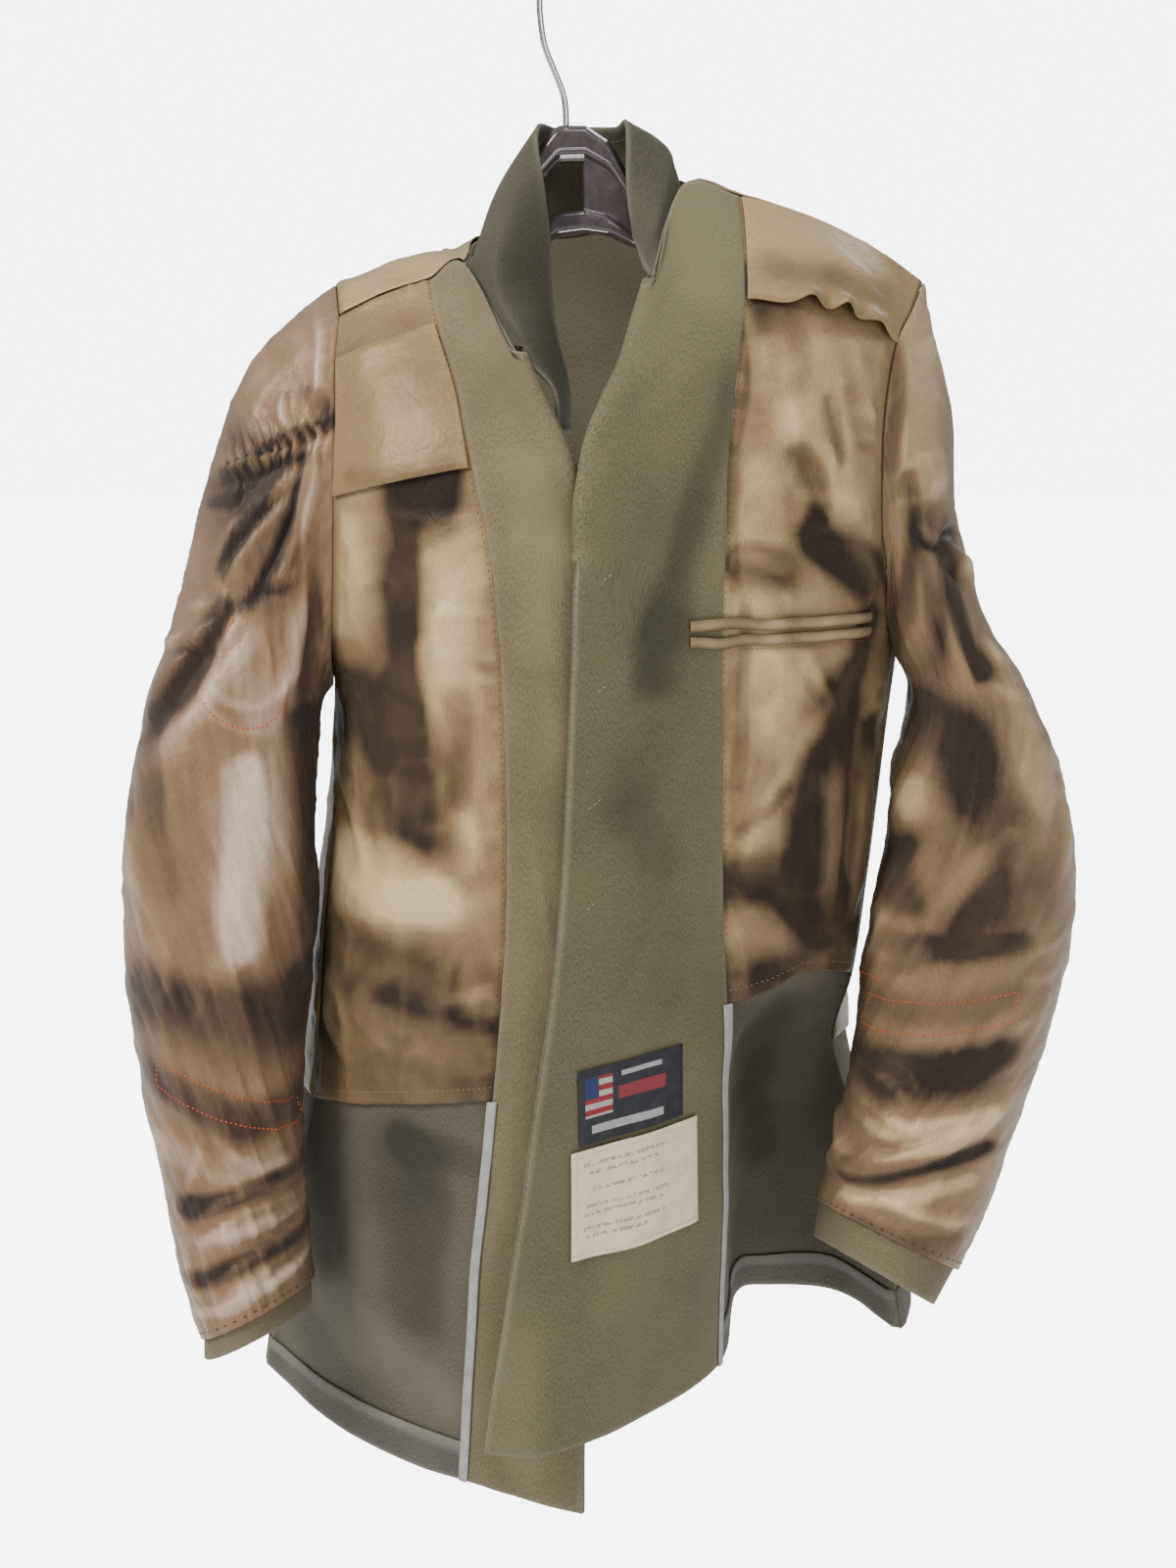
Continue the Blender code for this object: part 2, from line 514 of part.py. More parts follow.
def sleeve(side, start, table, end):
    """The lined sleeve, and the wool cuff that stands in it and comes out."""
    rings = rings_of(table + [end], AROUND)
    rings, last = np.concatenate([start[None], rings[:-1]]), rings[-1:]
    knots = length_knots(rings)
    rings = smooth(rings, knots, between(knots, (2,) * len(table)))
    tube_wall("sleeve_" + side, rings, SLEEVE_WALL, "satin")
    cuff = np.concatenate([inset(rings, SLEEVE_WALL + CUFF_GAP)[-3:], last])
    tube_wall("cuff_" + side, cuff, WOOL, "serge")


def hanger():
    table = np.array(HANGER, float)
    rows = np.array(HANGER_RIBS, float)
    x, top, bottom, half = table.T
    z = top + (bottom - top) * rows[:, :1]
    thick = half * rows[:, 1:]
    grid = np.stack([np.broadcast_to(x, z.shape), np.zeros_like(z), z], axis=-1)
    normal = np.zeros_like(grid)
    normal[..., 1] = -1
    (c0, c1), (r0, r1) = HANGER_WINDOW
    open_cells = {(r, c) for r in range(r0, r1 + 1) for c in range(c0, c1)}
    return cloth("hanger_body", grid, normal * thick[..., None], -1, 1, "dark plastic", open_cells)


def hook():
    line = np.array([(x, 0.0, z) for x, z in HOOK])
    knots = length_knots(line[:, None])
    return rod("hanger_hook", smooth(line, knots, knots), HOOK_RADIUS, HOOK_SIDES, "bright wire")


def at(names, name, strips):
    """Fine index of a named row or column."""
    names = [item[0] if isinstance(item, tuple) else item for item in names]
    return sum(strips[:names.index(name)])


clear()
left = panel(FRONT_LEFT, LEFT_DOWN, LEFT_ACROSS)
right = panel(FRONT_RIGHT, RIGHT_DOWN, RIGHT_ACROSS)
back = panel(BACK, BACK_DOWN, BACK_ACROSS)

# The sides of the back follow the sides of the two fronts below the underarm.
start = at(BACK, "underarm", BACK_DOWN)
back[start:, 0] = left[at(FRONT_LEFT, "underarm", LEFT_DOWN):, -1]
back[start:, -1] = right[at(FRONT_RIGHT, "underarm", RIGHT_DOWN):, -1]

left_out = outward(left, -1)
right_out = outward(right, 1)
back_out = outward(back, -1)

# The shoulder edges of the back follow the top seams of the fronts.
neck_left = at(LEFT_COLUMNS, "middle", LEFT_ACROSS)
neck_right = at(RIGHT_COLUMNS, "middle", RIGHT_ACROSS)
first, last = at(BACK_COLUMNS, "left neck", BACK_ACROSS), at(BACK_COLUMNS, "right neck", BACK_ACROSS)
for line, ways, columns, picks in (
        (left[0, neck_left:][::-1], left_out[0, neck_left:][::-1], slice(0, first + 1), SHOULDER_LEFT),
        (right[0, neck_right:], right_out[0, neck_right:], slice(last, None), SHOULDER_RIGHT)):
    share = length_knots(line[:, None])[list(picks)]
    share = share / share[-1]
    front_share = length_knots(line[:, None])
    ways += read_line(back[0, columns], back_out[0, columns], front_share / front_share[-1])
    ways /= np.linalg.norm(ways, axis=-1, keepdims=True)
    back[0, columns] = read_line(line, line, share)
    back_out[0, columns] = read_line(line, ways, share)
for front_out, rows, column in ((left_out, at(FRONT_LEFT, "underarm", LEFT_DOWN), 0),
                                (right_out, at(FRONT_RIGHT, "underarm", RIGHT_DOWN), -1)):
    mean = front_out[rows:, -1] + back_out[start:, column]
    mean /= np.linalg.norm(mean, axis=-1, keepdims=True)
    front_out[rows:, -1] = mean
    back_out[start:, column] = mean

FRONTS = (("left", left, left_out, FRONT_LEFT, LEFT_DOWN, LEFT_COLUMNS, LEFT_ACROSS),
          ("right", right, right_out, FRONT_RIGHT, RIGHT_DOWN, RIGHT_COLUMNS, RIGHT_ACROSS))
cloth("front_left", left, left_out, 0, WOOL, "serge")
cloth("front_right", right, right_out, 0, WOOL, "serge")
cloth("back", *trim(back, back_out, top=SEAM_BACK, start=GAP, end=GAP), 0, WOOL, "serge")

for side, grid, out, table, down, columns, across in FRONTS:
    facing = at(columns, "facing", across)
    hem_of_lining = at(table, "lining hem", down)
    turn_up = at(table, "turn-up", down)
    rows = slice(0, hem_of_lining + 1)
    ease = np.zeros((len(grid), facing + 1, 1))
    roll = at(columns, "roll", across)
    ease[:at(table, "break", down), :roll + 3] = FACING_EASE
    ease[at(table, "roll end", down) - 1:at(table, "break", down) + 2, :roll + 3] = FOLD_EASE
    cloth("facing_" + side, grid[:, :facing + 1], out[:, :facing + 1],
          ON_SHELL + ease, ON_SHELL + FACING + ease, "serge facing")
    cloth("lining_front_" + side, *trim(grid[rows, facing:], out[rows, facing:], start=GAP),
          ON_SHELL, ON_SHELL + SATIN, "satin")
    cloth("hem_" + side, *trim(grid[turn_up:, facing:], out[turn_up:, facing:], start=GAP, end=TURN_UP_INSET),
          ON_SHELL, ON_SHELL + FACING, "serge")

rows = slice(0, at(BACK, "lining hem", BACK_DOWN) + 1)
cloth("lining_back", *trim(back[rows], back_out[rows], top=SEAM_BACK, start=2 * GAP, end=2 * GAP),
      ON_SHELL, ON_SHELL + SATIN, "satin")
rows = slice(at(BACK, "turn-up", BACK_DOWN), None)
cloth("hem_back", *trim(back[rows], back_out[rows], start=TURN_UP_INSET, end=TURN_UP_INSET),
      ON_SHELL, ON_SHELL + FACING, "serge")

# Flaps on the chest, made from the points of the panel under them.
rows = slice(at(FRONT_LEFT, "gorge", LEFT_DOWN), at(FRONT_LEFT, "flap edge", LEFT_DOWN) + 1)
columns = slice(at(LEFT_COLUMNS, "facing", LEFT_ACROSS), None)
cloth("shoulder_flap_left",
      *trim(left[rows, columns], left_out[rows, columns], start=FLAP_INSET, end=FLAP_INSET),
      ON_LINING, ON_LINING + SATIN, "satin")
rows = slice(at(FRONT_RIGHT, "top seam", RIGHT_DOWN), at(FRONT_RIGHT, "flap edge", RIGHT_DOWN) + 1)
columns = slice(at(RIGHT_COLUMNS, "facing", RIGHT_ACROSS), None)
cloth("shoulder_flap_right",
      *trim(right[rows, columns], right_out[rows, columns], top=FLAP_INSET, start=FLAP_INSET, end=FLAP_INSET),
      ON_LINING, ON_LINING + SATIN, "satin")

# Inside pocket: two welts with the mouth between them.
patch("welt_upper", right, right_out, ((65, -374), (173, -375), (173, -381), (65, -380)), (1, 16),
      ON_WELT, ON_WELT + WELT, "satin")
patch("welt_lower", right, right_out, ((65, -383), (173, -384), (173, -390), (65, -389)), (1, 16),
      ON_WELT, ON_WELT + WELT, "satin")

# Tapes that bind the facing's edge below the lining.
for side, grid, out, table, down, columns, across in FRONTS:
    rows = slice(at(table, "lining hem", down), None)
    column = at(columns, "facing", across)
    columns = slice(column - 1, column + 2)
    middle, ways = trim(grid[rows, columns], out[rows, columns], top=TAPE_TOP)
    for edge in (0, 2):
        way = middle[:, edge] - middle[:, 1]
        middle[:, edge] = middle[:, 1] + TAPE_HALF * way / np.linalg.norm(way, axis=-1, keepdims=True)
    cloth("seam_binding_" + side, middle, ways, ON_LINING, ON_LINING + TAPE, "tape")

# Labels on the right facing.
patch("label_dark", right, right_out, ((2, -623), (62, -619), (63, -663), (3, -668)), (3, 4),
      ON_WELT, ON_WELT + TAPE, "dark label")
patch("label_cream", right, right_out, ((-2, -671), (71, -666), (72, -733), (-2, -738)), (3, 7),
      ON_LABEL, ON_LABEL + TAPE, "cream label")

# Collar: its seam edge follows the necks of the three panels, point for point.
roll_left = at(LEFT_COLUMNS, "roll", LEFT_ACROSS)
roll_right = at(RIGHT_COLUMNS, "roll", RIGHT_ACROSS)
neck = np.concatenate([left[0, roll_left:neck_left + 1],
                       back[0, first + 1:last], right[0, roll_right:neck_right + 1][::-1]])
neck_out = np.concatenate([left_out[0, roll_left:neck_left + 1],
                           back_out[0, first + 1:last], right_out[0, roll_right:neck_right + 1][::-1]])
table = np.array([row[1:] for row in COLLAR], float)
knots = length_knots(table)
run = length_knots(neck[:, None])
sewn = knots[2] + (knots[-1] - knots[2]) * run / run[-1]
free = [knots[0], (knots[0] + knots[1]) / 2, knots[1], (knots[1] + knots[2]) / 2]
collar = smooth(table, knots, np.concatenate([free, sewn]))
tangent = np.gradient(neck, axis=0)
tangent /= np.linalg.norm(tangent, axis=-1, keepdims=True)
up = collar[4:, 1] - neck
up -= (up * tangent).sum(axis=-1, keepdims=True) * tangent
up /= np.linalg.norm(up, axis=-1, keepdims=True)
lean = np.clip((up * neck_out).sum(axis=-1, keepdims=True), 0, 1)
collar[4:, 0] = neck + up * (SEAM_LIFT + SEAM_CLEAR * lean)
collar[4, 0] = neck[0] + LEAF_END
collar = collar.transpose(1, 0, 2)
crown = length_knots(collar)
collar = smooth(collar, crown, between(crown, (3, 3))).transpose(1, 0, 2)
cloth("collar", collar, outward(collar, 1), 0, COLLAR_WALL, "serge facing")

# Sleeves with the lining outside, and the wool cuffs that come out of them.
split = at(BACK, "underarm", BACK_DOWN)
under_left = at(FRONT_LEFT, "underarm", LEFT_DOWN)
under_right = at(FRONT_RIGHT, "underarm", RIGHT_DOWN)
for side, grid, out, front_rows, column, table, end in (
        ("left", left, left_out, under_left, 0, SLEEVE_LEFT, CUFF_END_LEFT),
        ("right", right, right_out, under_right, -1, SLEEVE_RIGHT, CUFF_END_RIGHT)):
    outside = ON_SHELL + SATIN
    front_edge = grid[:front_rows + 1, -1] + outside * out[:front_rows + 1, -1]
    back_edge = back[1:split, column] + outside * back_out[1:split, column]
    sleeve(side, armhole(front_edge, back_edge, AROUND, ARMHOLE_CLEAR[side]), table, end)

hanger()
hook()
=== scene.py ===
# The looks of a service coat turned inside out, hung on its hanger by a wire hook.
# Blender 4.5. Tables are in millimetres, meshes are made in metres, all in the model's
# frame: X to the viewer's right, Y away from the viewer, Z up, origin where the hook hangs.
import math

import bmesh
import bpy
import numpy as np
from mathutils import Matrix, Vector


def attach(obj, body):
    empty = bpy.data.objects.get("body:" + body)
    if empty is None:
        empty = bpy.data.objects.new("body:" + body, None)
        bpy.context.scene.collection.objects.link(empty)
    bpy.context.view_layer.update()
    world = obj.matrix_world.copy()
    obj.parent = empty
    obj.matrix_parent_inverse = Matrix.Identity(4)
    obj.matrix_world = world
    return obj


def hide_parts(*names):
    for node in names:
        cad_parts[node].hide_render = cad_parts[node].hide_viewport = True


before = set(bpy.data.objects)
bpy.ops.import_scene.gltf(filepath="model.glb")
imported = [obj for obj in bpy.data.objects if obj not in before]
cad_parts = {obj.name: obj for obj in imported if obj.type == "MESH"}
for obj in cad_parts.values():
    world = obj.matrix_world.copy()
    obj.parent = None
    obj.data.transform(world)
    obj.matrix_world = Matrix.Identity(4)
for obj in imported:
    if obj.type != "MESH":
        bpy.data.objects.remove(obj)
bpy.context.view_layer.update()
print("stage 1: the packed model is loaded")

mm = 0.001
# Thickness of each cloth, and the air between two layers.
wall = {"wool": 2.0, "facing": 1.5, "satin": 1.1, "collar": 2.6, "sleeve": 1.6, "tape": 1.0,
        "label": 0.7, "welt": 1.2, "gap": 0.35}
# Heights over the shell's base: of facing, lining and hem, of flaps and tapes, of welts, of the cream label.
onShell = wall["wool"] + wall["gap"]
onLining = onShell + wall["facing"] + wall["gap"]
onWelt = onLining + 0.2
onLabel = onLining + 0.7

# Strips made between one named row or column of a panel and the next.
skirtDown = (20, 24, 28, 14, 26, 24, 8)
leftDown = (11, 10, 12, 10, 7, 11, 11) + skirtDown
rightDown = (13, 11, 13, 12, 16, 6, 16) + skirtDown
backDown = (8, 12, 16, 18, 12) + skirtDown
leftAcross = (6, 8, 8, 13, 13, 18)
rightAcross = (10, 11, 10, 22, 12, 12, 16)
backAcross = (10, 7, 9, 9, 9, 9, 7, 10)
# Where the back's columns meet the columns of each front along the shoulder seams.
shoulderLeft = ((0, 6), (0.25, 5.33), (0.5, 4.67), (0.75, 4), (1, 3), (1.5, 2.5), (2, 2))
shoulderRight = ((6, 2), (6.5, 2.5), (7, 3), (7.25, 4), (7.5, 5), (7.75, 6), (8, 7))

leftColumns = ("edge", "roll", "middle", "facing", "chest", "outer chest", "side")
frontLeft = {
    "top seam": ((-33, -66, -222), (-30, -86, -225), (-62, -28, -176), (-82, -30, -186),
                 (-99, -32, -191), (-117, -33, -198), (-135, -28, -206)),
    "gorge": ((-27, -79, -243), (-21, -98, -244), (-50, -74, -222), (-75, -54, -212),
              (-95, -55, -218), (-115, -52, -224), (-136, -42, -231)),
    "collar tip": ((-20, -92, -263), (-11, -110, -264), (-37, -97, -257), (-62, -82, -249),
                   (-86, -80, -255), (-110, -73, -260), (-135, -54, -268)),
    "flap edge": ((-4, -104, -291), (-1, -119, -291), (-27, -111, -291), (-54, -103, -290),
                  (-82, -99, -295), (-108, -89, -301), (-136, -60, -308)),
    "roll end": ((6, -108, -320), (6, -118, -321), (-18, -115, -321), (-47, -110, -321),
                 (-77, -104, -324), (-107, -91, -328), (-137, -58, -335)),
    "break": ((12, -126, -339), (4, -127, -340), (-20, -121, -341), (-43, -115, -341),
              (-74, -108, -344), (-106, -93, -348), (-138, -55, -355)),
    "chest": ((12, -130, -371), (-6, -130, -372), (-24, -126, -373), (-40, -121, -374),
              (-71, -113, -378), (-104, -95, -383), (-141, -44, -392)),
    "underarm": ((12, -133, -405), (-5, -134, -406), (-21, -130, -408), (-37, -125, -409),
                 (-69, -116, -414), (-103, -93, -421), (-143, -17, -428)),
    "above waist": ((11, -140, -464), (-6, -141, -466), (-21, -137, -468), (-35, -132, -470),
                    (-70, -121, -476), (-107, -96, -486), (-143, -36, -500)),
    "waist": ((10, -146, -515), (-6, -147, -517), (-21, -143, -519), (-35, -137, -520),
              (-72, -125, -528), (-113, -97, -540), (-149, -42, -561)),
    "hip": ((10, -148, -598), (-8, -150, -601), (-24, -147, -606), (-40, -141, -612),
            (-79, -123, -621), (-120, -90, -634), (-157, -40, -656)),
    "lining hem": ((9, -148, -640), (-10, -151, -642), (-27, -148, -645), (-43, -141, -648),
                   (-83, -120, -658), (-123, -85, -671), (-161, -34, -686)),
    "skirt": ((8, -151, -764), (-16, -151, -765), (-36, -146, -767), (-54, -137, -769),
              (-95, -107, -770), (-141, -60, -772), (-184, 2, -775)),
    "turn-up": ((8, -162, -872), (-18, -154, -871), (-41, -143, -870), (-61, -132, -870),
                (-103, -99, -874), (-153, -47, -878), (-206, 34, -885)),
    "hem": ((8, -165, -897), (-18, -155, -896), (-42, -144, -895), (-63, -131, -895),
            (-105, -98, -900), (-155, -45, -903), (-210, 40, -907)),
}

# The front on the viewer's right lies over the other; its skirt has one deep fold.
rightColumns = ("edge", "roll", "middle", "facing", "chest", "outer chest", "fold", "side")
frontRight = {
    "top seam": ((51, -50, -180), (46, -68, -182), (66, -12, -130), (98, -8, -137),
                 (123, -6, -143), (151, -3, -153), (180, 0, -167), (209, -4, -186)),
    "gorge": ((44, -68, -205), (40, -82, -205), (70, -58, -176), (99, -45, -166),
              (121, -45, -172), (146, -42, -178), (172, -34, -188), (198, -24, -204)),
    "flap edge": ((39, -83, -228), (33, -98, -228), (66, -86, -212), (98, -74, -199),
                  (120, -75, -201), (142, -69, -204), (165, -59, -211), (187, -42, -221)),
    "lapel": ((30, -96, -251), (22, -113, -252), (58, -103, -246), (92, -88, -243),
              (117, -86, -246), (140, -80, -250), (162, -69, -254), (180, -53, -260)),
    "low lapel": ((20, -111, -278), (12, -125, -278), (50, -113, -280), (88, -96, -281),
                  (115, -93, -284), (139, -85, -286), (160, -73, -289), (179, -56, -293)),
    "roll end": ((8, -130, -330), (9, -137, -330), (48, -119, -333), (86, -100, -336),
                 (114, -95, -339), (140, -85, -342), (163, -71, -346), (184, -46, -352)),
    "break": ((4, -140, -341), (12, -138, -341), (50, -120, -345), (85, -101, -348),
              (114, -95, -351), (140, -84, -354), (164, -70, -358), (188, -36, -366)),
    "underarm": ((1, -148, -390), (29, -135, -391), (57, -119, -393), (84, -102, -395),
                 (115, -93, -396), (142, -80, -398), (168, -60, -399), (198, -6, -400)),
    "ribs": ((0, -153, -425), (29, -139, -428), (57, -121, -430), (85, -102, -432),
             (115, -92, -434), (142, -79, -436), (168, -57, -438), (193, -12, -442)),
    "waist": ((-5, -165, -513), (29, -147, -518), (58, -126, -523), (87, -104, -529),
              (114, -93, -532), (139, -78, -536), (162, -55, -542), (182, -16, -550)),
    "lining hem": ((-12, -172, -588), (26, -150, -592), (58, -128, -597), (90, -103, -601),
                   (115, -91, -596), (137, -78, -588), (157, -58, -594), (174, -24, -606)),
    "fold start": ((-20, -176, -640), (18, -154, -645), (52, -130, -650), (89, -99, -655),
                   (102, -44, -650), (124, -18, -650), (147, -8, -654), (167, 4, -660)),
    "skirt": ((-32, -181, -725), (4, -162, -731), (46, -136, -738), (90, -90, -745),
              (104, -4, -746), (130, 26, -748), (166, 34, -750), (199, 10, -755)),
    "turn-up": ((-46, -182, -824), (-11, -182, -824), (40, -142, -824), (89, -79, -824),
                (106, 20, -825), (133, 42, -827), (178, 40, -828), (212, -12, -830)),
    "hem": ((-49, -182, -848), (-13, -184, -848), (38, -144, -848), (89, -76, -848),
            (107, 26, -849), (135, 46, -851), (183, 38, -852), (216, -17, -854)),
}

backColumns = ("left side", "left blade", "left neck", "left nape", "nape",
               "right nape", "right neck", "right blade", "right side")
backPanel = {
    "shoulder seam": ((-135, -28, -206), (-99, -32, -191), (-62, -28, -176), (-52, 28, -157),
                      (8, 58, -152), (62, 28, -134), (66, -12, -130), (136, -4, -147), (209, -4, -186)),
    "shoulder top": ((-141, 4, -188), (-108, 6, -176), (-82, 12, -170), (-66, 40, -170),
                     (8, 72, -168), (74, 44, -147), (83, 10, -135), (141, 20, -152), (211, 14, -188)),
    "blade top": ((-149, 38, -222), (-119, 46, -207), (-90, 56, -199), (-56, 72, -199),
                  (8, 88, -205), (72, 74, -190), (106, 54, -174), (153, 52, -180), (215, 38, -216)),
    "blade": ((-150, 58, -298), (-120, 80, -298), (-86, 96, -298), (-45, 105, -298),
              (8, 109, -298), (60, 105, -293), (106, 95, -288), (157, 80, -288), (212, 54, -292)),
    "back": ((-146, 44, -384), (-124, 84, -386), (-88, 102, -386), (-44, 112, -386),
             (8, 115, -385), (60, 112, -382), (108, 101, -378), (158, 84, -372), (207, 42, -364)),
    "underarm": ((-143, -17, -428), (-141, 54, -432), (-106, 96, -432), (-50, 114, -430),
                 (10, 118, -428), (70, 114, -425), (130, 98, -418), (186, 60, -408), (198, -6, -400)),
    "above waist": ((-143, -36, -500), (-150, 44, -500), (-112, 94, -500), (-52, 112, -498),
                    (10, 116, -494), (71, 112, -488), (130, 96, -478), (184, 52, -462), (193, -12, -442)),
    "waist": ((-149, -42, -561), (-160, 40, -561), (-122, 94, -561), (-55, 112, -560),
              (10, 116, -558), (75, 112, -556), (132, 96, -554), (177, 52, -552), (182, -16, -550)),
    "hip": ((-157, -40, -656), (-176, 40, -652), (-132, 96, -650), (-60, 114, -646),
            (10, 120, -640), (80, 116, -634), (138, 98, -624), (175, 58, -614), (174, -24, -606)),
    "lining hem": ((-161, -34, -686), (-182, 44, -690), (-138, 98, -695), (-62, 116, -693),
                   (10, 122, -690), (84, 118, -684), (142, 100, -677), (180, 64, -668), (167, 4, -660)),
    "skirt": ((-184, 2, -775), (-197, 56, -776), (-150, 104, -779), (-72, 120, -779),
              (12, 125, -776), (95, 119, -771), (160, 98, -766), (207, 58, -760), (199, 10, -755)),
    "turn-up": ((-206, 34, -885), (-203, 70, -876), (-163, 107, -861), (-79, 123, -857),
                (14, 126, -851), (104, 118, -844), (174, 92, -836), (223, 48, -830), (212, -12, -830)),
    "hem": ((-210, 40, -907), (-205, 72, -898), (-165, 108, -885), (-80, 124, -881),
            (14, 126, -875), (105, 118, -868), (175, 92, -860), (226, 48, -854), (216, -17, -854)),
}

# Collar, station by station round the neck: seam to the coat, crown, free edge of the leaf.
collarStations = {
    "left point": ((-5, -98, -267), (-2, -84, -268), (1, -62, -270)),
    "left leaf": ((-8, -92, -246), (-5, -79, -246), (0, -56, -246)),
    "left gorge": ((-30, -86, -225), (-26, -82, -214), (-8, -49, -214)),
    "left front": ((-46, -57, -201), (-41, -69, -190), (-11, -41, -186)),
    "left turn": ((-57, -38, -185), (-43, -62, -167), (-12, -35, -160)),
    "left neck": ((-62, -28, -176), (-42, -46, -148), (-15, -26, -134)),
    "left side": ((-64, 5, -161), (-45, 0, -130), (-21, -7, -96)),
    "left nape": ((-33, 47, -153), (-25, 44, -118), (-8, 34, -91)),
    "nape": ((8, 58, -152), (10, 60, -120), (10, 48, -89)),
    "right nape": ((50, 44, -139), (45, 42, -110), (27, 33, -90)),
    "right side": ((67, 6, -128), (59, 0, -108), (33, -6, -92)),
    "right neck": ((60, -34, -148), (52, -33, -139), (33, -27, -132)),
    "right gorge": ((46, -68, -182), (41, -62, -174), (36, -44, -160)),
}

# Sleeves, ring by ring: outer point (x, z), inner point (x, z), middle depth, half depth.
sleeveLeft = {
    "crown": ((-188, -224), (-155, -434), -2, 57),
    "shoulder": ((-220, -295), (-157, -444), -8, 59),
    "pleats": ((-237, -363), (-157, -458), -18, 61),
    "upper arm": ((-258, -430), (-157, -478), -28, 63),
    "above elbow": ((-270, -490), (-158, -508), -38, 65),
    "elbow": ((-275, -548), (-157, -552), -44, 66),
    "below elbow": ((-273, -607), (-162, -600), -50, 64),
    "forearm": ((-266, -667), (-166, -655), -56, 61),
    "lower forearm": ((-252, -730), (-168, -710), -64, 58),
    "wrist": ((-241, -784), (-165, -757), -76, 55),
    "lining end": ((-228, -822), (-162, -789), -84, 53),
    "end": ((-226, -834), (-163, -804), -87, 50),
}
sleeveRight = {
    "crown": ((224, -246), (206, -409), -2, 56),
    "shoulder": ((232, -310), (208, -417), -6, 58),
    "upper arm": ((252, -380), (209, -428), -12, 60),
    "tuck": ((281, -430), (207, -450), -20, 62),
    "above elbow": ((302, -488), (198, -500), -28, 64),
    "elbow": ((310, -548), (190, -550), -34, 64),
    "below elbow": ((304, -607), (181, -605), -40, 62),
    "forearm": ((291, -655), (177, -648), -46, 60),
    "lower forearm": ((274, -700), (168, -690), -56, 58),
    "wrist": ((258, -744), (159, -720), -66, 56),
    "lining end": ((238, -783), (153, -740), -75, 54),
    "end": ((222, -803), (152, -761), -82, 51),
}
sleeveAround = 160
sleeveStrips = 20

# Hanger, from its left end to its right end: x, top, bottom, half of the thickness.
hangerStations = (
    (-187, -230, -242, 6.5), (-172, -219, -237, 6.5), (-150, -204, -224, 6.2),
    (-122, -190, -211, 5.8), (-92, -180, -203, 5.5), (-68, -174, -199, 5.2),
    (-46, -162, -192, 5.2), (-30, -134, -173, 5.2), (-17, -106, -161, 5.2),
    (-8, -95, -155, 5.2), (8, -95, -153, 5.2), (22, -104, -155, 5.2),
    (36, -128, -161, 5.2), (58, -140, -168, 5.2), (92, -143, -169, 5.4),
    (130, -152, -175, 5.6), (164, -164, -184, 5.8), (190, -179, -195, 6.0), (203, -186.6, -200, 6.0),
)
# Ribs down the hanger's face: share of its height, share of its thickness.
hangerRibs = ((0, 0.55), (0.02, 0.85), (0.05, 1), (0.2, 1), (0.24, 0.94), (0.29, 0.38),
              (0.79, 0.38), (0.83, 0.78), (0.87, 0.85), (0.95, 0.85), (0.98, 0.75), (1, 0.5))
hangerWindow = {"left": -17, "right": 8, "top": 0.3, "bottom": 0.84}
hook = {
    "radius": 1.9, "sides": 20,
    "line": ((-3, -94.2), (-3, -88), (-4.5, -76), (-10, -62), (-15.5, -48), (-17.8, -34),
             (-18.4, -24), (-17.6, -13.5), (-13.5, -4.5), (-7, 0.4), (0, 1.9), (7, 0.4),
             (13.5, -4.5), (17.4, -12), (18.6, -18.5)),
}

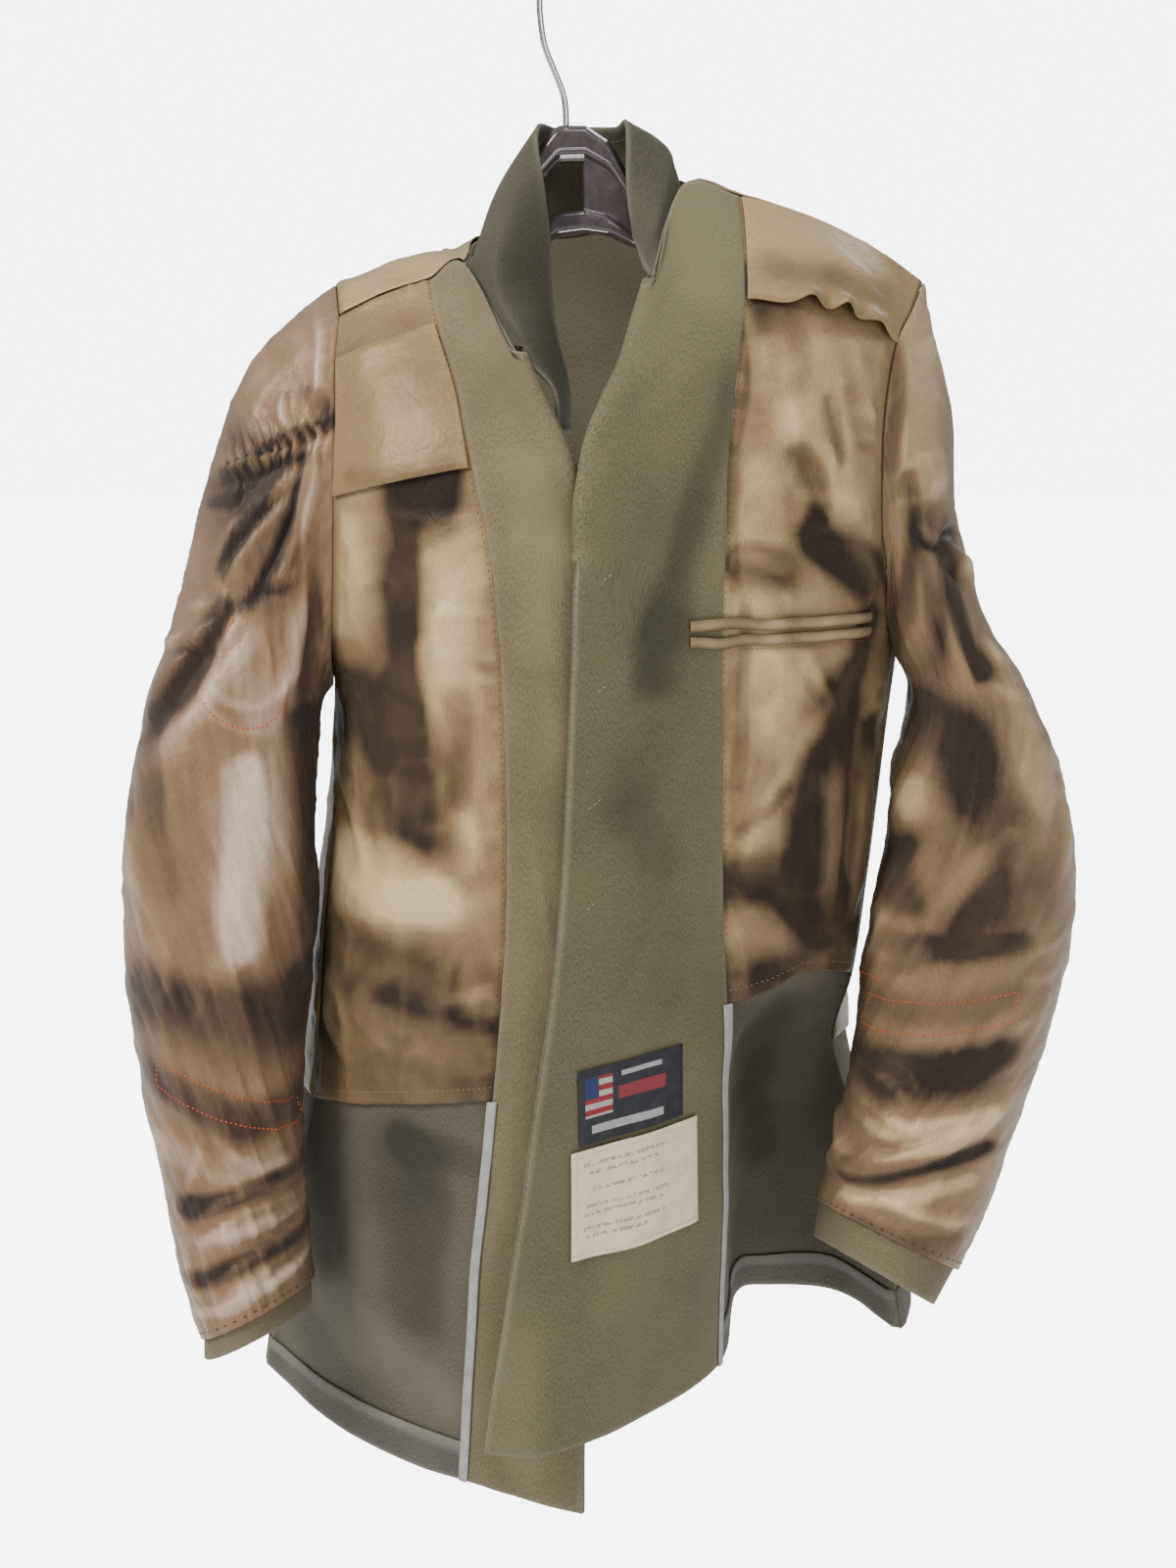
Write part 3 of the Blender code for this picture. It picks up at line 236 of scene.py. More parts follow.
# Folds and creases, seen from the front: x and z of one end, x and z of the other,
# how far the middle bows aside, half of the width, height (a valley where it is negative).
creasesSleeveLeft = (
    (-156, -266, -153, -200, -9, 3.5, 2.2), (-145, -262, -142, -192, -5, 5, 3),
    (-138, -256, -139, -203, 1, 4, -2.5), (-164, -270, -169, -250, 3, 3, 2),
    (-158, -269, -162, -242, 3, 3, -2), (-190, -274, -170, -238, 4, 3, 1.6),
    (-181, -279, -203, -255, -1, 3, 1.6), (-171, -274, -184, -254, -1, 3, -1.5),
    (-139, -266, -138, -248, 0, 3, -2.5), (-158, -282, -204, -334, -7, 7, -5),
    (-164, -290, -209, -342, -6, 4, 3), (-159, -300, -205, -351, -4, 3, -4),
    (-154, -282, -187, -369, 4, 3.5, -6), (-148, -276, -173, -353, 3, 6, 4.5),
    (-139, -270, -157, -342, -6, 6, 4), (-217, -292, -164, -280, -1, 5, 3),
    (-216, -303, -173, -290, 0, 4, -3), (-197, -377, -254, -450, 1, 8, -6.5),
    (-185, -369, -217, -418, -3, 4, 4), (-203, -373, -256, -441, -2, 6, 4.5),
    (-248, -398, -210, -394, 2, 3, 2.5), (-246, -401, -210, -397, 2, 3, -3),
    (-230, -387, -205, -381, -1, 3, 2), (-233, -375, -206, -372, 2, 3, 2),
    (-183, -365, -160, -355, -1, 3, -3.5), (-181, -362, -159, -350, -2, 3.5, 2.5),
    (-212, -413, -179, -429, -6, 3, 1.8), (-177, -429, -164, -404, -2, 3, 2),
    (-155, -342, -166, -422, 0, 5, 4), (-152, -352, -160, -440, 1, 4, -3),
    (-216, -420, -177, -445, -7, 3, 1.6), (-248, -486, -254, -545, -9, 5, 2),
    (-177, -465, -191, -562, 0, 14, 3), (-157, -473, -159, -562, 0, 7, -2),
    (-244, -601, -240, -561, -6, 3, 1), (-223, -613, -221, -589, -5, 3, 1),
    (-217, -676, -243, -742, 3, 3, 1.6), (-212, -676, -184, -706, -3, 3.5, 2),
    (-169, -714, -188, -706, -5, 4, 2.5), (-167, -724, -218, -738, -9, 3, -3),
    (-168, -720, -223, -733, -9, 3.5, 2.5), (-168, -742, -218, -767, -5, 3, -3.5),
    (-168, -737, -229, -747, -3, 5, 3.5), (-165, -766, -208, -781, -3, 5, 3.5),
    (-165, -761, -187, -771, 0, 3, -3), (-233, -746, -220, -784, -1, 3, 2.5),
    (-226, -738, -215, -788, -2, 3, -2),
)
creasesSleeveRight = (
    (202, -213, 214, -196, -1, 3, -2.5), (196, -222, 218, -213, 2, 3, -2), (184, -261, 197, -249, 0, 3, -3),
    (196, -259, 192, -299, 1, 5, 2.5), (211, -312, 226, -298, 2, 3, 2), (200, -328, 219, -340, -2, 3, -3),
    (217, -335, 233, -329, 2, 3, -3.5), (219, -344, 237, -365, 2, 3.5, -4), (225, -338, 243, -364, 1, 4, 3),
    (192, -291, 220, -286, 2, 3, 1.4), (197, -333, 208, -424, 0, 10, 3),
    (216, -364, 221, -428, -3, 8, -2.5), (188, -312, 219, -309, 0, 3, 1.4),
    (246, -395, 264, -410, -2, 3, 1.8), (248, -414, 271, -427, -3, 3, 1.8),
    (191, -241, 204, -220, 3, 3, 1.8), (196, -510, 212, -472, -1, 9, 3), (193, -530, 210, -504, 0, 6, -3),
    (213, -444, 204, -504, 2, 8, 2.5), (257, -518, 230, -556, 6, 10, -2), (294, -477, 291, -535, 4, 4, 2),
    (187, -572, 191, -550, 0, 3, 1.6), (184, -594, 221, -577, -2, 4, -1.5),
    (177, -653, 200, -665, 3, 3, 1.8), (173, -671, 211, -684, 0, 3, 1.6), (169, -686, 195, -693, -2, 3, -2),
    (168, -696, 161, -717, 0, 4, 3), (161, -715, 255, -673, 0, 5, 5), (159, -723, 247, -690, 0, 4, -5.5),
    (197, -684, 258, -669, 3, 3, 1.8), (158, -728, 211, -729, 5, 5, 2), (178, -723, 236, -745, -2, 5, -2.5),
    (187, -724, 241, -736, -2, 4, 2), (267, -576, 298, -568, -1, 3, 1.4),
    (265, -591, 291, -589, -1, 3, 1.4), (256, -626, 277, -614, 0, 3, 1.6),
    (249, -651, 268, -641, 1, 3, 1.6), (247, -676, 263, -664, 0, 3, 1.8), (182, -638, 212, -660, 1, 3, 1),
)
creasesChestLeft = (
    (-127, -232, -82, -213, 3, 3, -1.4), (-127, -229, -82, -209, 3, 4, 1.4),
    (-85, -206, -74, -223, 3, 4, 1.5), (-118, -362, -100, -351, -1, 3, -1.6),
    (-131, -313, -118, -369, 4, 7, 1.8), (-77, -373, -39, -371, 3, 3, 1.4),
    (-57, -404, -37, -405, -2, 3, 1.6), (-53, -397, -36, -399, -2, 3, -1.6),
    (-144, -483, -128, -528, 2, 5, -3), (-113, -479, -113, -506, -3, 4, -1.6),
    (-59, -480, -55, -518, 5, 5, 2), (-61, -563, -67, -588, -1, 3, -1.2), (-58, -596, -39, -580, 3, 3, 1.6),
    (-70, -593, -37, -589, 5, 3, 1.4), (-152, -599, -139, -651, -10, 5, -2.5),
    (-143, -595, -133, -643, 3, 4, 1.8),
)
creasesChestRight = (
    (122, -173, 160, -156, 12, 5, 1.6), (121, -186, 132, -183, 0, 3, 1.2),
    (142, -251, 154, -286, -1, 4, -2.5), (127, -305, 164, -310, 1, 3, 1.8),
    (150, -239, 158, -240, -3, 3, 1.2), (93, -340, 119, -343, 2, 4, 1.6),
    (100, -354, 128, -353, -2, 5, -1.6), (159, -257, 176, -263, 0, 3, 1.6),
    (161, -277, 178, -283, 1, 3, -1.8), (163, -240, 173, -269, 0, 4, 1.5), (134, -398, 152, -430, 0, 4, 2),
    (152, -425, 134, -449, -1, 5, 1.8), (96, -398, 86, -445, -2, 5, -2), (128, -438, 93, -497, 0, 6, -3),
    (165, -458, 159, -562, 2, 4, -4), (178, -462, 167, -563, 3, 5, 3.5), (187, -449, 186, -530, 0, 4, -3),
    (154, -456, 151, -547, 0, 6, 3), (87, -516, 114, -513, 5, 4, 1.6),
)
# Broad folds that wool and lining share.
foldsLeft = (
    (-94, -311, -94, -446, -5, 14, -3), (-70, -318, -71, -434, 2, 16, 2.5),
    (-148, -541, -64, -523, -10, 14, 4), (-149, -568, -41, -550, -5, 10, -2.5),
    (-91, -667, -86, -789, -6, 20, -3), (-120, -660, -140, -850, 4, 16, 3),
    (-60, -700, -64, -880, 2, 14, 2), (20, -700, -30, -860, 0, 22, -2),
)
foldsRight = (
    (124, -295, 164, -370, -1, 12, -4), (107, -206, 109, -281, -3, 8, -2),
    (116, -224, 122, -289, 5, 12, 2.5), (179, -398, 160, -448, 0, 8, -3), (135, -446, 130, -563, 1, 14, -3),
    (118, -452, 112, -521, -6, 12, 3), (86, -260, 30, -400, 4, 16, -3), (60, -250, 80, -420, 5, 18, 2),
    (10, -420, 70, -560, 6, 22, -2), (60, -600, 20, -780, 4, 24, 2), (20, -640, -10, -840, 0, 16, -2),
)
foldsBack = (
    (-60, -240, -90, -420, 8, 22, 3), (70, -230, 100, -420, -8, 22, 3), (-110, -470, -60, -560, 6, 16, 3),
    (60, -500, 130, -450, 8, 18, 3), (-20, -620, -60, -860, 6, 26, 4), (50, -640, 90, -860, -6, 26, 4),
    (140, -600, 180, -820, 4, 20, 3), (-130, -640, -160, -860, 4, 20, 3), (-80, -300, 60, -320, 10, 18, 2),
)

# Where satin and wool are painted dark (painted shade, negative) or bright (painted sheen highlight,
# positive),
# as broad strokes: x and z of one end, x and z of the other, how far the middle bows aside, half of the
# width, amount.
shadeSleeveLeft = (
    (-200, -300, -180, -350, 0, 34, -0.45), (-203, -372, -248, -440, -3, 8, -1),
    (-160, -290, -205, -352, -6, 5, -0.6), (-150, -290, -188, -372, 4, 5, -0.7),
    (-214, -310, -170, -292, 0, 5, -0.5), (-190, -385, -185, -432, 0, 14, 0.3),
    (-262, -440, -240, -520, -6, 16, -0.35), (-193, -470, -196, -560, 2, 12, 0.95),
    (-225, -455, -225, -560, 0, 14, -0.12), (-158, -440, -160, -590, 2, 8, -0.75),
    (-255, -600, -170, -612, 0, 26, -0.75), (-250, -645, -170, -680, 0, 14, -0.6),
    (-250, -694, -190, -704, 0, 13, 0.35), (-230, -728, -168, -718, 4, 6, -0.85),
    (-232, -765, -165, -755, 4, 6, -0.8), (-225, -785, -165, -774, 4, 5, 0.45),
    (-208, -291, -132, -267, 0, 3, -0.8), (-150, -250, -140, -270, 0, 7, -0.7),
    (-215, -250, -190, -275, 0, 12, -0.25), (-176, -215, -168, -250, 2, 9, -0.2),
)
shadeSleeveRight = (
    (205, -190, 214, -300, 0, 16, 0.6), (192, -225, 190, -290, 0, 5, -0.4),
    (206, -330, 208, -430, 0, 13, -0.45), (224, -330, 242, -410, -6, 8, -0.95),
    (200, -300, 196, -420, 0, 5, -0.5), (262, -425, 284, -486, -4, 15, 0.3),
    (228, -450, 240, -560, 0, 26, -0.35), (214, -446, 256, -500, 0, 22, -0.55),
    (190, -500, 200, -546, 0, 14, -0.75), (225, -570, 270, -540, 4, 20, -0.45),
    (258, -508, 214, -560, -4, 6, 0.3), (200, -580, 262, -572, 0, 10, -0.55),
    (186, -612, 262, -604, 0, 10, -0.3), (190, -652, 256, -640, 0, 16, -0.9),
    (185, -682, 250, -668, 0, 6, 0.45), (166, -712, 250, -690, 0, 7, -0.95),
    (168, -724, 240, -714, 0, 5, 0.5), (172, -742, 232, -752, 0, 8, -0.4),
)
shadeChestLeft = (
    (-95, -285, -95, -450, 0, 12, -1), (-72, -290, -73, -318, 0, 12, -0.75),
    (-118, -436, -90, -500, 10, 28, -0.95), (-135, -400, -132, -500, -2, 8, -0.5),
    (-132, -523, -70, -538, 8, 15, 0.9), (-145, -578, -50, -586, 0, 24, -0.6),
    (-150, -615, -45, -622, 0, 24, -0.5), (-150, -660, -45, -664, 0, 26, -0.6),
    (-60, -330, -58, -420, 0, 11, 0.3), (-63, -425, -60, -470, 0, 9, -0.5),
    (-122, -290, -122, -380, 0, 12, 0.3), (-58, -480, -54, -510, 0, 10, 0.25),
    (-140, -230, -70, -215, 0, 10, -0.2),
)
shadeChestRight = (
    (104, -184, 134, -186, 0, 9, -0.8), (110, -196, 120, -240, 4, 12, -0.6),
    (92, -200, 92, -356, 0, 6, -0.5), (130, -280, 143, -330, 3, 7, -0.85),
    (140, -330, 170, -352, 0, 12, -0.85), (98, -345, 124, -347, 0, 11, -0.75),
    (144, -250, 152, -284, 0, 5, -0.6), (175, -372, 160, -436, -2, 9, -0.9),
    (102, -380, 122, -440, 0, 20, 0.55), (150, -436, 140, -550, 4, 20, -1),
    (95, -530, 160, -552, 6, 20, -0.85), (96, -500, 124, -478, 0, 5, -0.6),
    (177, -450, 172, -560, 3, 7, -0.8), (125, -225, 150, -300, 0, 18, 0.45),
    (112, -290, 112, -325, 0, 12, 0.25), (160, -395, 150, -415, 0, 7, -0.5),
    (186, -440, 184, -560, 0, 5, 0.3), (96, -372, 90, -470, 0, 5, -0.5),
    (95, -588, 172, -584, 0, 22, -0.75),
)
shadeFlaps = (
    (104, -155, 168, -165, 6, 20, 0.8), (115, -180, 150, -182, 0, 9, -0.3),
    (150, -185, 180, -195, 0, 10, -0.3), (-120, -300, -70, -292, 0, 7, -0.4),
    (-125, -245, -70, -235, 0, 20, -0.2), (-100, -212, -70, -206, 0, 6, 0.3),
)
shadeWool = (
    (90, -245, 45, -400, 0, 12, -0.65), (60, -380, 30, -480, 0, 20, -0.3), (72, -140, 80, -190, 0, 22, 0.5),
    (-22, -290, -20, -390, 0, 14, 0.4), (-100, -690, -60, -694, 0, 12, -0.6),
    (-100, -700, -96, -790, 6, 22, -0.6), (-150, -825, -80, -850, 0, 22, 0.6),
    (-142, -670, -140, -740, 0, 12, 0.25), (-32, -760, -30, -860, 0, 14, 0.2),
    (120, -620, 120, -740, 0, 18, -0.7), (10, -740, 10, -830, 0, 34, 0.15),
)


# Running length along one axis of a grid of points.
def runs(grid, axis=0):
    steps = np.linalg.norm(np.diff(grid, axis=axis), axis=-1)
    start = np.zeros_like(np.take(steps, [0], axis=axis))
    return np.concatenate([start, np.cumsum(steps, axis=axis)], axis=axis)


# Mean running length from row to row of a grid.
def lengthKnots(grid):
    steps = np.linalg.norm(np.diff(grid, axis=0), axis=-1)
    steps = steps.reshape(len(steps), -1).mean(axis=1)
    return np.concatenate([[0.0], np.cumsum(steps)])


# Cubic through values at knots: 2t3 - 3t2 + 1 and its three companions, slopes from the neighbours.
def smooth(values, knots, places):
    values = np.asarray(values, float)
    shape = (-1,) + (1,) * (values.ndim - 1)
    step = np.diff(knots)
    slope = np.diff(values, axis=0) / step.reshape(shape)
    tangent = np.empty_like(values)
    before = step[:-1].reshape(shape)
    after = step[1:].reshape(shape)
    tangent[1:-1] = (slope[:-1] * after + slope[1:] * before) / (before + after)
    tangent[0] = slope[0]
    tangent[-1] = slope[-1]
    cell = np.clip(np.searchsorted(knots, places, side="right") - 1, 0, len(step) - 1)
    t = ((places - knots[cell]) / step[cell]).reshape(shape)
    h = step[cell].reshape(shape)
    return ((2 * t**3 - 3 * t**2 + 1) * values[cell] + (t**3 - 2 * t**2 + t) * h * tangent[cell]
            + (3 * t**2 - 2 * t**3) * values[cell + 1] + (t**3 - t**2) * h * tangent[cell + 1])


# Every knot, and the places that split each span into its strips.
def between(knots, strips):
    spans = [a + (b - a) * np.arange(n) / n for a, b, n in zip(knots[:-1], knots[1:], strips)]
    return np.concatenate(spans + [knots[-1:]])


# A panel's named rows of points made finer both ways by the cubic.
def finePanel(rows, down, across):
    grid = np.array(list(rows.values()), float)
    knots = lengthKnots(grid)
    grid = smooth(grid, knots, between(knots, down))
    turned = grid.transpose(1, 0, 2)
    columns = np.arange(len(turned), dtype=float)
    return smooth(turned, columns, between(columns, across)).transpose(1, 0, 2)


# Vectors divided by their length.
def unit(vectors):
    return vectors / np.maximum(np.linalg.norm(vectors, axis=-1, keepdims=True), 1e-9)


# Unit normals of a grid: slope down its columns crossed with slope along its rows.
def outward(grid, side):
    return unit(np.cross(np.gradient(grid, axis=0), np.gradient(grid, axis=1))) * side


# Fine index of a named row or column.
def at(names, name, strips):
    return sum(strips[:list(names).index(name)])


# 3t2 - 2t3 of a distance over its reach, from 0 to 1.
def easeIn(distance, reach):
    t = np.clip(distance / reach, 0, 1)
    return t * t * (3 - 2 * t)


# Value noise: seeded numbers on a lattice, blended between its points by 3t2 - 2t3.
def softNoise(a, b, size, seed):
    lattice = np.random.default_rng(seed).uniform(-1, 1, (64, 64))
    a, b = a / size, b / size
    i, j = np.floor(a).astype(int), np.floor(b).astype(int)
    s, t = easeIn(a - i, 1), easeIn(b - j, 1)
    i, j, k, m = i % 64, j % 64, (i + 1) % 64, (j + 1) % 64
    return ((lattice[i, j] * (1 - s) + lattice[k, j] * s) * (1 - t)
            + (lattice[i, m] * (1 - s) + lattice[k, m] * s) * t)


# Thin winding ridges: one minus the size of a noise, to the fifth power.
def ridges(a, b, size, seed):
    return (1 - np.abs(softNoise(a, b, size, seed))) ** 5


# A bell: 1 on the line, falling with the square of the distance over its half width.
def bell(distance, half):
    return np.exp(-(distance / half) ** 2)


# Gathers on both sides of a seam: a sine along the seam, dying away from it, and the seam sunk in.
def gathered(x, z, seam):
    (x0, z0), (x1, z1) = seam["from"], seam["to"]
    run = math.hypot(x1 - x0, z1 - z0)
    ax, az = (x1 - x0) / run, (z1 - z0) / run
    along = (x - x0) * ax + (z - z0) * az
    aside = (z - z0) * ax - (x - x0) * az
    inside = easeIn(along, 8) * easeIn(run + 6 - along, 8)
    wander = along + 0.25 * np.abs(aside) + 2 * softNoise(along, aside, 14, 3)
    wave = np.sin(wander * 2 * math.pi / seam["pitch"])
    rise = seam["height"] * wave * bell(aside, seam["reach"])
    return inside * (rise - seam["sink"] * bell(aside, seam["groove"]))


# Where a point lies against a bowed line: share along it, distance aside, distance past its ends.
def againstLine(x, z, x0, z0, x1, z1, bow):
    run = math.hypot(x1 - x0, z1 - z0)
    ax, az = (x1 - x0) / run, (z1 - z0) / run
    along = ((x - x0) * ax + (z - z0) * az) / run
    t = np.clip(along, 0, 1)
    aside = (z - z0) * ax - (x - x0) * az - bow * 4 * t * (1 - t)
    return t, aside, (along - t) * run


# A crease's share of its height at its ends; the ridge beside a valley, in heights and half widths.
crease = {"ends": 0.25, "ridge": 0.45, "beside": 1.9}


# Sum of creases: height times a bell of the distance from each bowed line, thinning at its
# ends; a valley throws up a lower ridge beside it.
def creased(x, z, lines):
    total = np.zeros_like(x)
    for *line, width, height in lines:
        t, aside, past = againstLine(x, z, *line)
        taper = crease["ends"] + (1 - crease["ends"]) * np.sin(math.pi * t)
        shape = bell(aside, width)
        if height < 0:
            shape = shape - crease["ridge"] * bell(aside - crease["beside"] * width, width)
        total += height * taper * shape * bell(past, width)
    return total


# How far strokes wander, in mm: x by amount, stretch of z, size and seed; z by amount, size and seed.
wanderAcross = ((5, 0.5, 24, 5), (1.5, 0.3, 7, 6))
wanderDown = (8, 34, 7)


# Painted shade and highlight: sum of broad strokes with soft flat tops: amount times a steep bell of the
# distance from each bowed line, in coordinates that slow noise bends so that the strokes end along folds.
def shaded(x, z, strokes):
    total = np.zeros_like(x)
    bentX = x
    for amount, stretch, size, seed in wanderAcross:
        bentX = bentX + amount * softNoise(x, z * stretch, size, seed)
    amount, size, seed = wanderDown
    bentZ = z + amount * softNoise(x, z, size, seed)
    for *line, width, amount in strokes:
        _, aside, past = againstLine(bentX, bentZ, *line)
        total += amount * np.exp(-((aside ** 2 + past ** 2) / width ** 2) ** 2)
    return np.clip(total, -1, 1)


# Painted fold shade: a painted highlight on ridges and painted shade in valleys, the given tone plus shares
# of the cloth's height.
def paintedFoldShade(shadeAndTone, first, firstShare, second=0.0, secondShare=0.0):
    total = shadeAndTone + firstShare * np.squeeze(first) + secondShare * np.squeeze(second)
    return np.clip(total, -1, 1)


# A mesh object from points in millimetres, faces as index arrays, and numbers kept per point.
def makeMesh(name, points, faces, material, uvs=None, numbers=None):
    mesh = bpy.data.meshes.new(name)
    sizes = np.concatenate([np.full(len(block), block.shape[1]) for block in faces])
    corners = np.concatenate([block.ravel() for block in faces])
    mesh.vertices.add(len(points))
    mesh.vertices.foreach_set("co", (points * mm).ravel())
    mesh.loops.add(len(corners))
    mesh.loops.foreach_set("vertex_index", corners.astype(np.int32))
    mesh.polygons.add(len(sizes))
    starts = np.concatenate([[0], np.cumsum(sizes)[:-1]])
    mesh.polygons.foreach_set("loop_start", starts.astype(np.int32))
    mesh.polygons.foreach_set("use_smooth", np.ones(len(sizes), bool))
    if uvs is not None:
        layer = mesh.uv_layers.new(name="UVMap")
        layer.data.foreach_set("uv", uvs.astype(np.float32).ravel())
    for key, values in (numbers or {}).items():
        kept = mesh.attributes.new(key, "FLOAT", "POINT")
        kept.data.foreach_set("value", values.astype(np.float32).ravel())
    mesh.update(calc_edges=True)
    mesh.validate()
    mesh.materials.append(material)
    made = bpy.data.objects.new(name, mesh)
    bpy.context.scene.collection.objects.link(made)
    return made


# The rim: share of the wall it stands proud, and the distance in which its pale edge fades, partly wear and
# partly a painted highlight.
rimLook = {"proud": 0.33, "fade": 1.6}


# A closed sheet: the base moved out along its normals to low and to high, and a rim whose
# middle stands proud by a third of the wall, so that the edge looks turned. It keeps two
# numbers: edge, exp(-distance / 1.6 mm), and the tone with its painted shade and highlight.
def makeSheet(name, base, out, low, high, material, closed=False, keep=None, shadeAndTone=None):
    rows, columns = base.shape[:2]
    count = rows * columns
    inner, outer = base + out * low, base + out * high
    index = np.arange(count).reshape(rows, columns)
    right = np.roll(index, -1, axis=1) if closed else index[:, [*range(1, columns), -1]]
    last = None if closed else -1
    a, b, d, e = index[:-1, :last], right[:-1, :last], index[1:, :last], right[1:, :last]
    cells = np.stack([a, d, e, b], axis=-1).reshape(-1, 4)
    flatBase = np.concatenate([base, base[:, :1]], axis=1) if closed else base
    u, v = runs(flatBase, 1), runs(flatBase, 0)
    flat = np.stack([u, v], axis=-1) * mm
    cellFlat = np.stack([flat[:-1, :-1], flat[1:, :-1], flat[1:, 1:], flat[:-1, 1:]], axis=2)
    cellFlat = cellFlat.reshape(-1, 4, 2)
    points = outer.reshape(-1, 3)
    crossed = np.cross(points[cells[:, 1]] - points[cells[:, 0]], points[cells[:, 3]] - points[cells[:, 0]])
    if (crossed * out.reshape(-1, 3)[cells[:, 0]]).sum() < 0:
        cells, cellFlat = cells[:, ::-1], cellFlat[:, ::-1]
    if keep is not None:
        cells, cellFlat = cells[keep.ravel()], cellFlat[keep.ravel()]
    edges = np.concatenate([cells[:, [i, (i + 1) % 4]] for i in range(4)])
    code = edges[:, 0].astype(np.int64) * count + edges[:, 1]
    back = edges[:, 1].astype(np.int64) * count + edges[:, 0]
    border = edges[~np.isin(code, back)]
    p, q = border[:, 0], border[:, 1]
    normal = out.reshape(-1, 3)
    aside = unit(np.cross(points[q] - points[p], normal[p]))
    proud = np.zeros_like(points)
    np.add.at(proud, p, aside)
    np.add.at(proud, q, aside)
    onRim = np.unique(border)
    place = np.zeros(count, int)
    place[onRim] = np.arange(len(onRim)) + 2 * count
    thick = np.linalg.norm(outer - inner, axis=-1).reshape(-1, 1)
    middle = (points + inner.reshape(-1, 3)) / 2 + unit(proud) * thick * rimLook["proud"]
    rim = np.concatenate([np.stack([q, p, place[p], place[q]], 1),
                          np.stack([place[q], place[p], p + count, q + count], 1)])
    flatPoint = flat[:, :columns].reshape(-1, 2)
    rimFlat = np.concatenate([flatPoint[[q, p, p, q]].transpose(1, 0, 2)] * 2)
    faces = [np.concatenate([cells, cells[:, ::-1] + count, rim])]
    uvs = np.concatenate([cellFlat, cellFlat[:, ::-1], rimFlat]).reshape(-1, 2)
    fromEdge = np.minimum(v, v[-1:] - v)[:, :columns]
    if not closed:
        fromEdge = np.minimum(fromEdge, np.minimum(u, u[:, -1:] - u))
    edge = np.exp(-fromEdge.ravel() / rimLook["fade"])
    shadeAndTone = np.zeros(count) if shadeAndTone is None else np.broadcast_to(shadeAndTone, (rows, columns)).ravel()
    numbers = {"edge": np.concatenate([edge, edge, np.ones(len(onRim))]),
               "shadeAndTone": np.concatenate([shadeAndTone, shadeAndTone, shadeAndTone[onRim]])}
    allPoints = np.concatenate([points, inner.reshape(-1, 3), middle[onRim]])
    made = makeMesh(name, allPoints, faces, material, uvs, numbers)
    if keep is not None:
        loose = np.setdiff1d(np.arange(2 * count), np.concatenate([cells.ravel(), cells.ravel() + count]))
        dropLoose(made, loose)
    return made


# Points that no face uses are taken out.
def dropLoose(piece, loose):
    work = bmesh.new()
    work.from_mesh(piece.data)
    work.verts.ensure_lookup_table()
    bmesh.ops.delete(work, geom=[work.verts[i] for i in loose.tolist()], context="VERTS")
    work.to_mesh(piece.data)
    work.free()


# Radius of a bar's last and next circles, and how far its tip stands out, in radii.
dome = {"last": 0.35, "next": 0.8, "tip": 0.15}


# A round bar along a path: circles square to the path, drawn in to a dome at both ends.
def makeRod(name, path, radius, sides, material):
    ways = unit(np.gradient(path, axis=0))
    side = np.array([0.0, 1.0, 0.0])
    turns = np.arange(sides) * 2 * math.pi / sides
    size = np.full(len(path), float(radius))
    size[[0, -1]] *= dome["last"]
    size[[1, -2]] *= dome["next"]
    other = np.cross(ways, side)
    rings = path[:, None] + size[:, None, None] * (np.cos(turns)[None, :, None] * side
                                                   + np.sin(turns)[None, :, None] * other[:, None])
    index = np.arange(len(path) * sides).reshape(-1, sides)
    wrapped = np.roll(index, -1, axis=1)
    cells = np.stack([index[:-1], index[1:], wrapped[1:], wrapped[:-1]], axis=-1).reshape(-1, 4)
    tips = path[[0, -1]] + ways[[0, -1]] * np.array([[-1.0], [1.0]]) * radius * dome["tip"]
    points = np.concatenate([rings.reshape(-1, 3), tips])
    first, final = len(points) - 2, len(points) - 1
    caps = np.concatenate([np.stack([index[0], wrapped[0], np.full(sides, first)], 1),
                           np.stack([wrapped[-1], index[-1], np.full(sides, final)], 1)])
    return makeMesh(name, points, [cells, caps], material)


# Points spaced evenly along a line, with the normals read at the same places.
def spaced(line, ways, step, shift=0.0):
    run = runs(line)
    places = np.arange(shift, run[-1], step)
    read = [np.interp(places, run, values[:, i]) for values in (line, ways) for i in range(3)]
    return np.stack(read[:3], axis=-1), unit(np.stack(read[3:], axis=-1))


# The eight faces of a spindle; points 0 and 1 are its ends.
spindle = ((0, 4, 3), (0, 2, 4), (0, 5, 2), (0, 3, 5), (1, 3, 4), (1, 4, 2), (1, 2, 5), (1, 5, 3))


# Stitches along lines: each is a spindle with eight faces, its length along the line.
def makeStitches(name, lines, material, length, step, width, height):
    points, faces = [], []
    start = 0
    for line, ways in lines:
        centre, normal = spaced(line, ways, step, step / 2)
        along = unit(np.gradient(centre, axis=0))
        aside = np.cross(normal, along)
        dip = normal * height
        six = np.stack([centre - along * length / 2 - dip * 0.4, centre + along * length / 2 - dip * 0.4,
                        centre + aside * width / 2, centre - aside * width / 2,
                        centre + dip, centre - dip * 0.5], 1)
        points.append(six.reshape(-1, 3))
        firsts = start + np.arange(len(centre)) * 6
        faces.append((np.array(spindle)[None] + firsts[:, None, None]).reshape(-1, 3))
        start += 6 * len(centre)
    return makeMesh(name, np.concatenate(points), [np.concatenate(faces)], material)


# Twice the area between two flat vectors: x of one times z of the other, less the reverse.
def flatCross(first, second):
    return first[..., 0] * second[..., 1] - second[..., 0] * first[..., 1]


